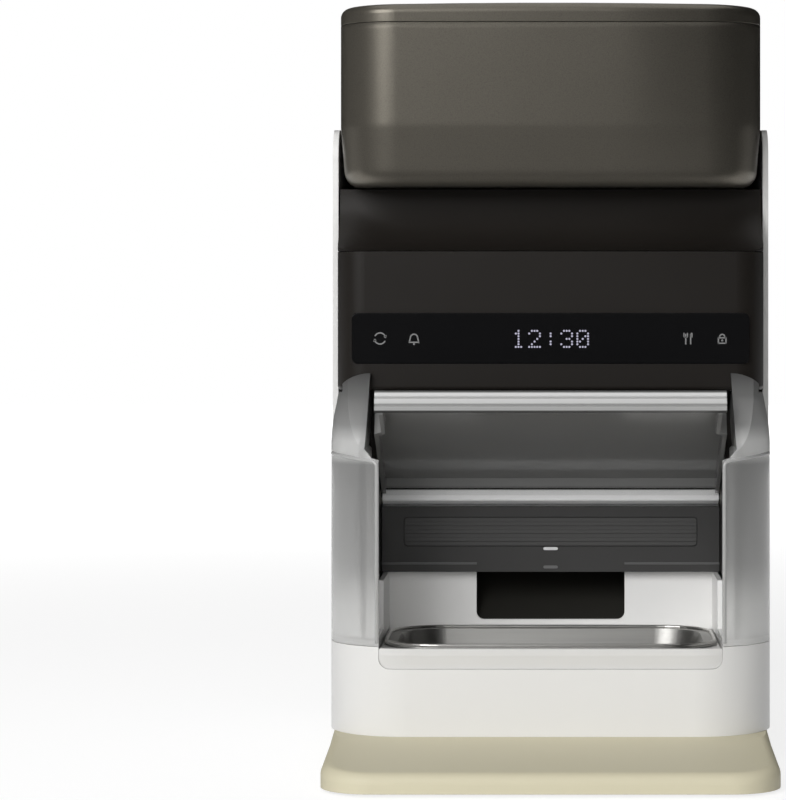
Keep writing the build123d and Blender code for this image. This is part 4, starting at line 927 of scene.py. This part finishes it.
def add_screw(mesh_edit, head_top, outward, shank_radius, length):
    """Pan-head screw with a cross recess; outward is the direction that the head faces."""
    profile = [
        (0.0, -length),
        (shank_radius * 0.5, -length),
        (shank_radius, -length + shank_radius),
        (shank_radius, -HEAD_HEIGHT),
        (HEAD_RADIUS, -HEAD_HEIGHT),
        (HEAD_RADIUS, -HEAD_HEIGHT * 0.5),
        (HEAD_RADIUS * 0.88, -HEAD_HEIGHT * 0.16),
        (HEAD_RADIUS * 0.66, 0.0),
    ]
    before = set(mesh_edit.verts)
    points = [mesh_edit.verts.new((across, 0, along)) for across, along in profile]
    lines = [mesh_edit.edges.new(pair) for pair in zip(points, points[1:])]
    bmesh.ops.spin(
        mesh_edit,
        geom=[*points, *lines],
        cent=(0, 0, 0),
        axis=(0, 0, 1),
        angle=math.tau,
        steps=SCREW_SEGMENTS,
        use_merge=True,
    )
    made = [vert for vert in mesh_edit.verts if vert not in before]
    bmesh.ops.remove_doubles(mesh_edit, verts=made, dist=JOIN_WITHIN)
    corners = [(CROSS_ARM, -CROSS_HALF), (CROSS_ARM, CROSS_HALF), (CROSS_HALF, CROSS_HALF)]
    outline = []
    for quarter in range(4):
        turn = Matrix.Rotation(quarter * math.pi / 2, 3, "Z")
        outline += [mesh_edit.verts.new(turn @ Vector((x, y, 0))) for x, y in corners]
    cross = [mesh_edit.edges.new(pair) for pair in zip(outline, outline[1:] + outline[:1])]
    rim = [edge for edge in mesh_edit.edges if edge.is_boundary and edge.verts[0] not in before]
    bmesh.ops.bridge_loops(mesh_edit, edges=rim + cross)
    sunk = bmesh.ops.extrude_edge_only(mesh_edit, edges=cross)["geom"]
    deep = [part for part in sunk if isinstance(part, bmesh.types.BMVert)]
    bmesh.ops.translate(mesh_edit, verts=deep, vec=(0, 0, -RECESS_DEPTH))
    bmesh.ops.scale(mesh_edit, verts=deep, vec=(CROSS_TAPER, CROSS_TAPER, 1.0))
    floor = [part for part in sunk if isinstance(part, bmesh.types.BMEdge) and part.is_boundary]
    bmesh.ops.contextual_create(mesh_edit, geom=floor)
    whole = [vert for vert in mesh_edit.verts if vert not in before]
    facing = Vector((0, 0, 1)).rotation_difference(outward).to_matrix().to_4x4()
    bmesh.ops.transform(mesh_edit, matrix=Matrix.Translation(head_top) @ facing, verts=whole)


class FEEDER_OT_screws(FinishOperator, bpy.types.Operator):
    """Put cross-recessed screws in the tray and in the back"""

    bl_idname = "feeder.screws"
    bl_label = "Screws"

    def execute(self, context):
        zinc = cut_metal("screw_zinc", (0.55, 0.55, 0.54), 0.35)
        rear = bmesh.new()
        length = REAR_SCREW_HIGH.y - REAR_SCREW_LOW.y
        for x in (REAR_SCREW_LOW.x + HEAD_RADIUS, REAR_SCREW_HIGH.x - HEAD_RADIUS):
            for z in (REAR_SCREW_LOW.z + HEAD_RADIUS, REAR_SCREW_HIGH.z - HEAD_RADIUS):
                add_screw(rear, Vector((x, REAR_SCREW_HIGH.y, z)), Vector((0, 1, 0)), REAR_SHANK, length)
        piece = piece_from(rear, "rear_screw_set", zinc, "housing")
        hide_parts("rear_screws")
        below = bmesh.new()
        length = TRAY_SCREW_HIGH.z - TRAY_SCREW_LOW.z
        for x in (TRAY_SCREW_LOW.x + HEAD_RADIUS, TRAY_SCREW_HIGH.x - HEAD_RADIUS):
            for y in (TRAY_SCREW_LOW.y + HEAD_RADIUS, TRAY_SCREW_HIGH.y - HEAD_RADIUS):
                add_screw(below, Vector((x, y, TRAY_SCREW_LOW.z)), Vector((0, 0, -1)), TRAY_SHANK, length)
        piece = piece_from(below, "tray_screw_set", zinc, "housing")
        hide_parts("tray_screws")
        return {"FINISHED"}


# ---- Operator: stage -------------------------------------------------------------------------
FLOOR_SIZE = 10.0
LAMP_TARGET = Vector((0, 0, 0.19))
# Degrees round and above the feeder, distance and size of each lamp.
KEY_PLACE = (-30, 28, 2.3, 1.4)
FRONT_PLACE = (-8, 14, 2.4, 1.6)
# Name, middle, width and height of the cards that stand round the feeder.
CARDS = (
    ("card_left", (-1.9, -0.9, 2.4), 3.4, 5.0),
    ("card_right", (1.9, -0.9, 2.4), 3.4, 5.0),
    ("card_front", (0.0, -3.4, 2.4), 5.0, 5.0),
    ("card_left_back", (-1.8, 2.0, 2.4), 4.2, 5.0),
    ("card_right_back", (1.8, 2.0, 2.4), 4.2, 5.0),
)
FLOOR_CARD = ("card_floor", (0.0, -1.67, 0.01), 5.0, 3.0)
# The flag shades the hopper's right end from the key lamp.
FLAG = ("flag", (0.139, -0.244, 0.419), 0.3, 0.162)
FLAG_FACING = Vector((0.5, 0.866, 0))


def put_on_stage(name, mesh_edit, material):
    """Make a mesh part of the stage."""
    mesh = bpy.data.meshes.new(name)
    mesh_edit.to_mesh(mesh)
    mesh_edit.free()
    mesh.materials.append(material)
    made = bpy.data.objects.new(name, mesh)
    bpy.context.scene.collection.objects.link(made)
    return made


def lamp(name, around, height, distance, size, power):
    """Square area lamp aimed at the feeder; around and height are degrees from straight ahead."""
    turn, rise = math.radians(around), math.radians(height)
    ahead = Vector((math.sin(turn) * math.cos(rise), -math.cos(turn) * math.cos(rise), math.sin(rise)))
    data = bpy.data.lights.new(name, "AREA")
    data.shape = "SQUARE"
    data.size = size
    data.energy = power
    made = bpy.data.objects.new(name, data)
    made.location = LAMP_TARGET + ahead * distance
    made.rotation_euler = (-ahead).to_track_quat("-Z", "Y").to_euler()
    bpy.context.scene.collection.objects.link(made)
    return made


def card_felt():
    """Black felt of the cards."""
    finish = Finish("card_felt", specular_ior_level=0.0, roughness=1.0)
    finish.feed("Base Color", finish.blend(finish.noise(40.0), (0.01, 0.01, 0.01), (0.016, 0.016, 0.016)))
    return finish.material


def dark_card(felt, name, middle, across, tall, lying=False, facing=None):
    """Black card that only reflections see; it faces the feeder, lies flat or faces a given way."""
    board = bmesh.new()
    bmesh.ops.create_grid(board, x_segments=1, y_segments=1, size=0.5)
    away = facing or Vector((LAMP_TARGET.x - middle[0], LAMP_TARGET.y - middle[1], 0))
    stand = Matrix.Identity(4) if lying else away.to_track_quat("Z", "Y").to_matrix().to_4x4()
    scale = Matrix.Diagonal((across, tall, 1.0, 1.0))
    bmesh.ops.transform(board, matrix=Matrix.Translation(middle) @ stand @ scale, verts=board.verts)
    card = put_on_stage(name, board, felt)
    for sees in ("camera", "diffuse", "transmission", "volume_scatter", "shadow"):
        setattr(card, f"visible_{sees}", False)
    return card


# The floor turns white between these distances, and keeps this share of its shading near the feeder.
NEAR_FLOOR = 0.5
FAR_FLOOR = 2.6
SHADE_KEPT = 0.36
FLOOR_WHITE = 1.25


def pale_floor():
    """Floor that keeps the feeder's shadow close by and is plain white farther off."""
    finish = Finish("floor_pale", roughness=0.7, specular_ior_level=0.1)
    finish.feed("Base Color", finish.blend(finish.noise(3.0), (0.84, 0.84, 0.84), (0.86, 0.86, 0.86)))
    distance = finish.node("ShaderNodeVectorMath", {"operation": "LENGTH"}, {0: finish.place}, output="Value")
    inputs = {"Value": distance, "From Min": NEAR_FLOOR, "From Max": FAR_FLOOR}
    far = finish.node("ShaderNodeMapRange", {"interpolation_type": "SMOOTHSTEP"}, inputs)
    white = finish.node("ShaderNodeEmission", {}, {"Color": (1, 1, 1, 1), "Strength": FLOOR_WHITE})
    share = finish.seen_directly() * finish.spread(far, 1.0 - SHADE_KEPT, 1.0)
    lit = Value(finish, finish.shader.outputs[0])
    mixed = finish.node("ShaderNodeMixShader", {}, {0: share, 1: lit, 2: white})
    finish.join(mixed, finish.tree.nodes["Material Output"].inputs["Surface"])
    return finish.material


def sky(strength):
    """Even light all round, which shows white behind the feeder."""
    world = bpy.data.worlds.new("studio_sky")
    world.use_nodes = True
    recipe = Recipe(world.node_tree)
    background = world.node_tree.nodes["Background"]
    recipe.join((1, 1, 1, 1), background.inputs["Color"])
    recipe.join(strength + (1.0 - strength) * recipe.seen_directly(), background.inputs["Strength"])
    bpy.context.scene.world = world


class FEEDER_OT_stage(FinishOperator, bpy.types.Operator):
    """Set up the floor, the lamps, the cards, the sky and the camera"""

    bl_idname = "feeder.stage"
    bl_label = "Studio"

    def execute(self, context):
        studio = context.scene.feeder_studio
        ground = bmesh.new()
        bmesh.ops.create_grid(ground, x_segments=1, y_segments=1, size=FLOOR_SIZE / 2)
        put_on_stage("floor", ground, pale_floor())
        lamp("key_lamp", *KEY_PLACE, studio.key)
        front = lamp("front_lamp", *FRONT_PLACE, studio.fill)
        front.visible_glossy = False
        sky(studio.sky)
        felt = card_felt()
        for card in CARDS:
            dark_card(felt, *card)
        dark_card(felt, *FLOOR_CARD, lying=True)
        flag = dark_card(felt, *FLAG, facing=FLAG_FACING)
        flag.visible_shadow = True

        data = bpy.data.cameras.new("camera")
        data.lens = studio.lens
        data.shift_x, data.shift_y = studio.shift
        camera = bpy.data.objects.new("camera", data)
        camera.location = (0, -studio.camera_back, studio.camera_height)
        camera.rotation_euler = (math.pi / 2, 0, 0)
        context.scene.collection.objects.link(camera)
        context.scene.camera = camera
        context.scene.view_settings.view_transform = "Standard"
        return {"FINISHED"}


# ---- Add-on ----------------------------------------------------------------------------------
STEPS = (
    FEEDER_OT_shell,
    FEEDER_OT_tray,
    FEEDER_OT_front,
    FEEDER_OT_hopper,
    FEEDER_OT_clear_parts,
    FEEDER_OT_bowl,
    FEEDER_OT_drives,
    FEEDER_OT_power,
    FEEDER_OT_digits,
    FEEDER_OT_symbols,
    FEEDER_OT_sensor_mark,
    FEEDER_OT_sensor_trim,
    FEEDER_OT_guard_beads,
    FEEDER_OT_bowl_rim,
    FEEDER_OT_screws,
    FEEDER_OT_stage,
)
SETTINGS = {"feeder_colours": FeederColours, "feeder_sizes": FeederSizes, "feeder_studio": FeederStudio}


class FEEDER_PT_panel(bpy.types.Panel):
    """Lists the feeder's settings and steps"""

    bl_idname = "FEEDER_PT_panel"
    bl_label = "Pet Feeder"
    bl_space_type = "VIEW_3D"
    bl_region_type = "UI"
    bl_category = "Feeder"

    def draw(self, context):
        for name, group in SETTINGS.items():
            box = self.layout.box()
            for key in group.__annotations__:
                box.prop(getattr(context.scene, name), key)
        for operator in STEPS:
            self.layout.operator(operator.bl_idname)


def register():
    for group in SETTINGS.values():
        bpy.utils.register_class(group)
    for name, group in SETTINGS.items():
        setattr(bpy.types.Scene, name, bpy.props.PointerProperty(type=group))
    for operator in (*STEPS, FEEDER_PT_panel):
        bpy.utils.register_class(operator)


def unregister():
    for operator in reversed((*STEPS, FEEDER_PT_panel)):
        bpy.utils.unregister_class(operator)
    for name, group in SETTINGS.items():
        delattr(bpy.types.Scene, name)
        bpy.utils.unregister_class(group)


def main():
    """Register and run every step in order."""
    register()
    for operator in STEPS:
        family, step = operator.bl_idname.split(".")
        getattr(getattr(bpy.ops, family), step)()


if __name__ == "__main__":
    main()
